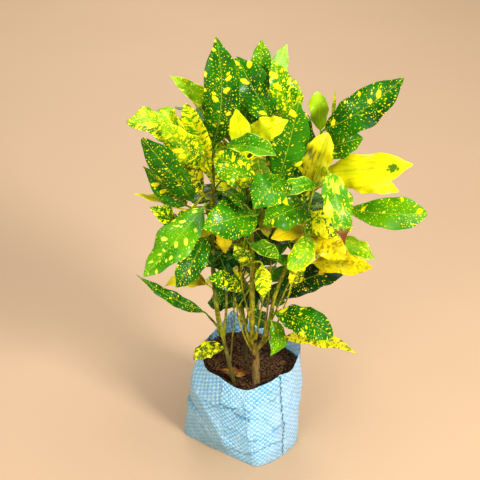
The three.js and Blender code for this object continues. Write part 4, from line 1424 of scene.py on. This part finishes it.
bag_piece()
seam_pieces()
soil_piece()
BARKS = {
    "left_stem": bark("olive bark", (0.10, 0.14, 0.003), (0.30, 0.31, 0.006), (0.10, 0.09, 0.012)),
    "front_stem": bark("grey bark", (0.15, 0.18, 0.003), (0.42, 0.37, 0.008), (0.23, 0.155, 0.036),
                       TRUNK_KNOTS),
    "back_stem": bark("dark bark", (0.05, 0.085, 0.003), (0.18, 0.20, 0.005), (0.06, 0.06, 0.010)),
}
for name, (branches, slot) in STEMS.items():
    stem_piece(name, branches, slot, BARKS[name])
placed = [Vector(base).lerp(Vector(tip), share) for _, _, _, base, tip, *_ in LEAVES + SMALL_LEAVES
          for share in (0.35, 0.7, 1)]
for rows, solids in ((LEAVES, True), (SMALL_LEAVES + rest_of_crown(placed), False)):
    for name, branch, joint, base, tip, width, bend, face, fold, look, *outline in rows:
        shape = LeafShape(name, *leaf_root(branch, joint, base), base, tip, width, bend, face, fold, *outline)
        leaf(f"{name}_leaf", shape, look, SLOT_OF[look], *([f"leaf_{name}"] if solids else []))
dry_shape = LeafShape("dry", Vector((-29, -20, 107)), Vector((1, 0, 0)), Vector((0, 0, 1)),
                      (-23, -20, 107.5), (12, -25, 107.5), 15, (2, 3), (0, 75), 20, wild=2)
leaf("dry_leaf", dry_shape, "dry", "dry_leaf", "fallen_leaf")
for blank in (BLADE, STALK, BAR, THREAD):
    bpy.data.objects.remove(blank)

# ---------------------------------------------------------------- floor, light and camera

deselect()
bpy.ops.mesh.primitive_plane_add(size=12)
floor = bpy.context.object
floor.name = "floor"
floor_finish = Finish("pale floor")
floor_tone = floor_finish.noise(floor_finish.object_place(), 3, 3)
painted(floor, floor_finish.done(floor_finish.mix(floor_tone, (0.63, 0.42, 0.25), (0.68, 0.46, 0.28)),
                                 0.6 + floor_tone * 0.1))


def soft_light(name, place, size, power, colour, goal=(0, 0, 0.28)):
    """A square lamp that looks at the middle of the plant or another goal."""
    lamp = bpy.data.lights.new(name, "AREA")
    lamp.size, lamp.energy, lamp.color = size, power, colour
    holder = bpy.data.objects.new(name, lamp)
    holder.location = place
    holder.rotation_euler = (Vector(goal) - Vector(place)).to_track_quat("-Z", "Y").to_euler()
    bpy.context.scene.collection.objects.link(holder)


soft_light("key", (1.4, -1.3, 1.45), 0.5, 48, (1.0, 0.985, 0.96))
soft_light("top", (0.2, 0.0, 1.9), 1.0, 15, (1.0, 0.99, 0.97))
soft_light("fill", (-1.2, -1.5, 1.0), 1.4, 11, (1.0, 0.99, 0.98))
soft_light("front", (-0.8, -1.4, 0.55), 0.6, 6.5, (1.0, 0.99, 0.98))
soft_light("back", (-0.4, 2.2, 1.5), 1.2, 12, (1.0, 0.98, 0.95))
soft_light("ground", (0, 1.9, 1.5), 1.6, 10, (1.0, 0.98, 0.95), (0, 1.8, 0))

world = bpy.data.worlds.new("studio")
bpy.context.scene.world = world
world.use_nodes = True
world.node_tree.nodes["Background"].inputs["Color"].default_value = (1.0, 0.97, 0.94, 1)
world.node_tree.nodes["Background"].inputs["Strength"].default_value = 0.26
bpy.context.scene.view_settings.view_transform = "Standard"

camera = bpy.data.objects.new("camera", bpy.data.cameras.new("camera"))
camera.location = CAMERA_PLACE
camera.rotation_euler = (math.radians(90 - CAMERA_DOWN), 0, 0)
camera.data.lens = CAMERA_LENS
camera.data.sensor_width = CAMERA_FILM
bpy.context.scene.collection.objects.link(camera)
bpy.context.scene.camera = camera
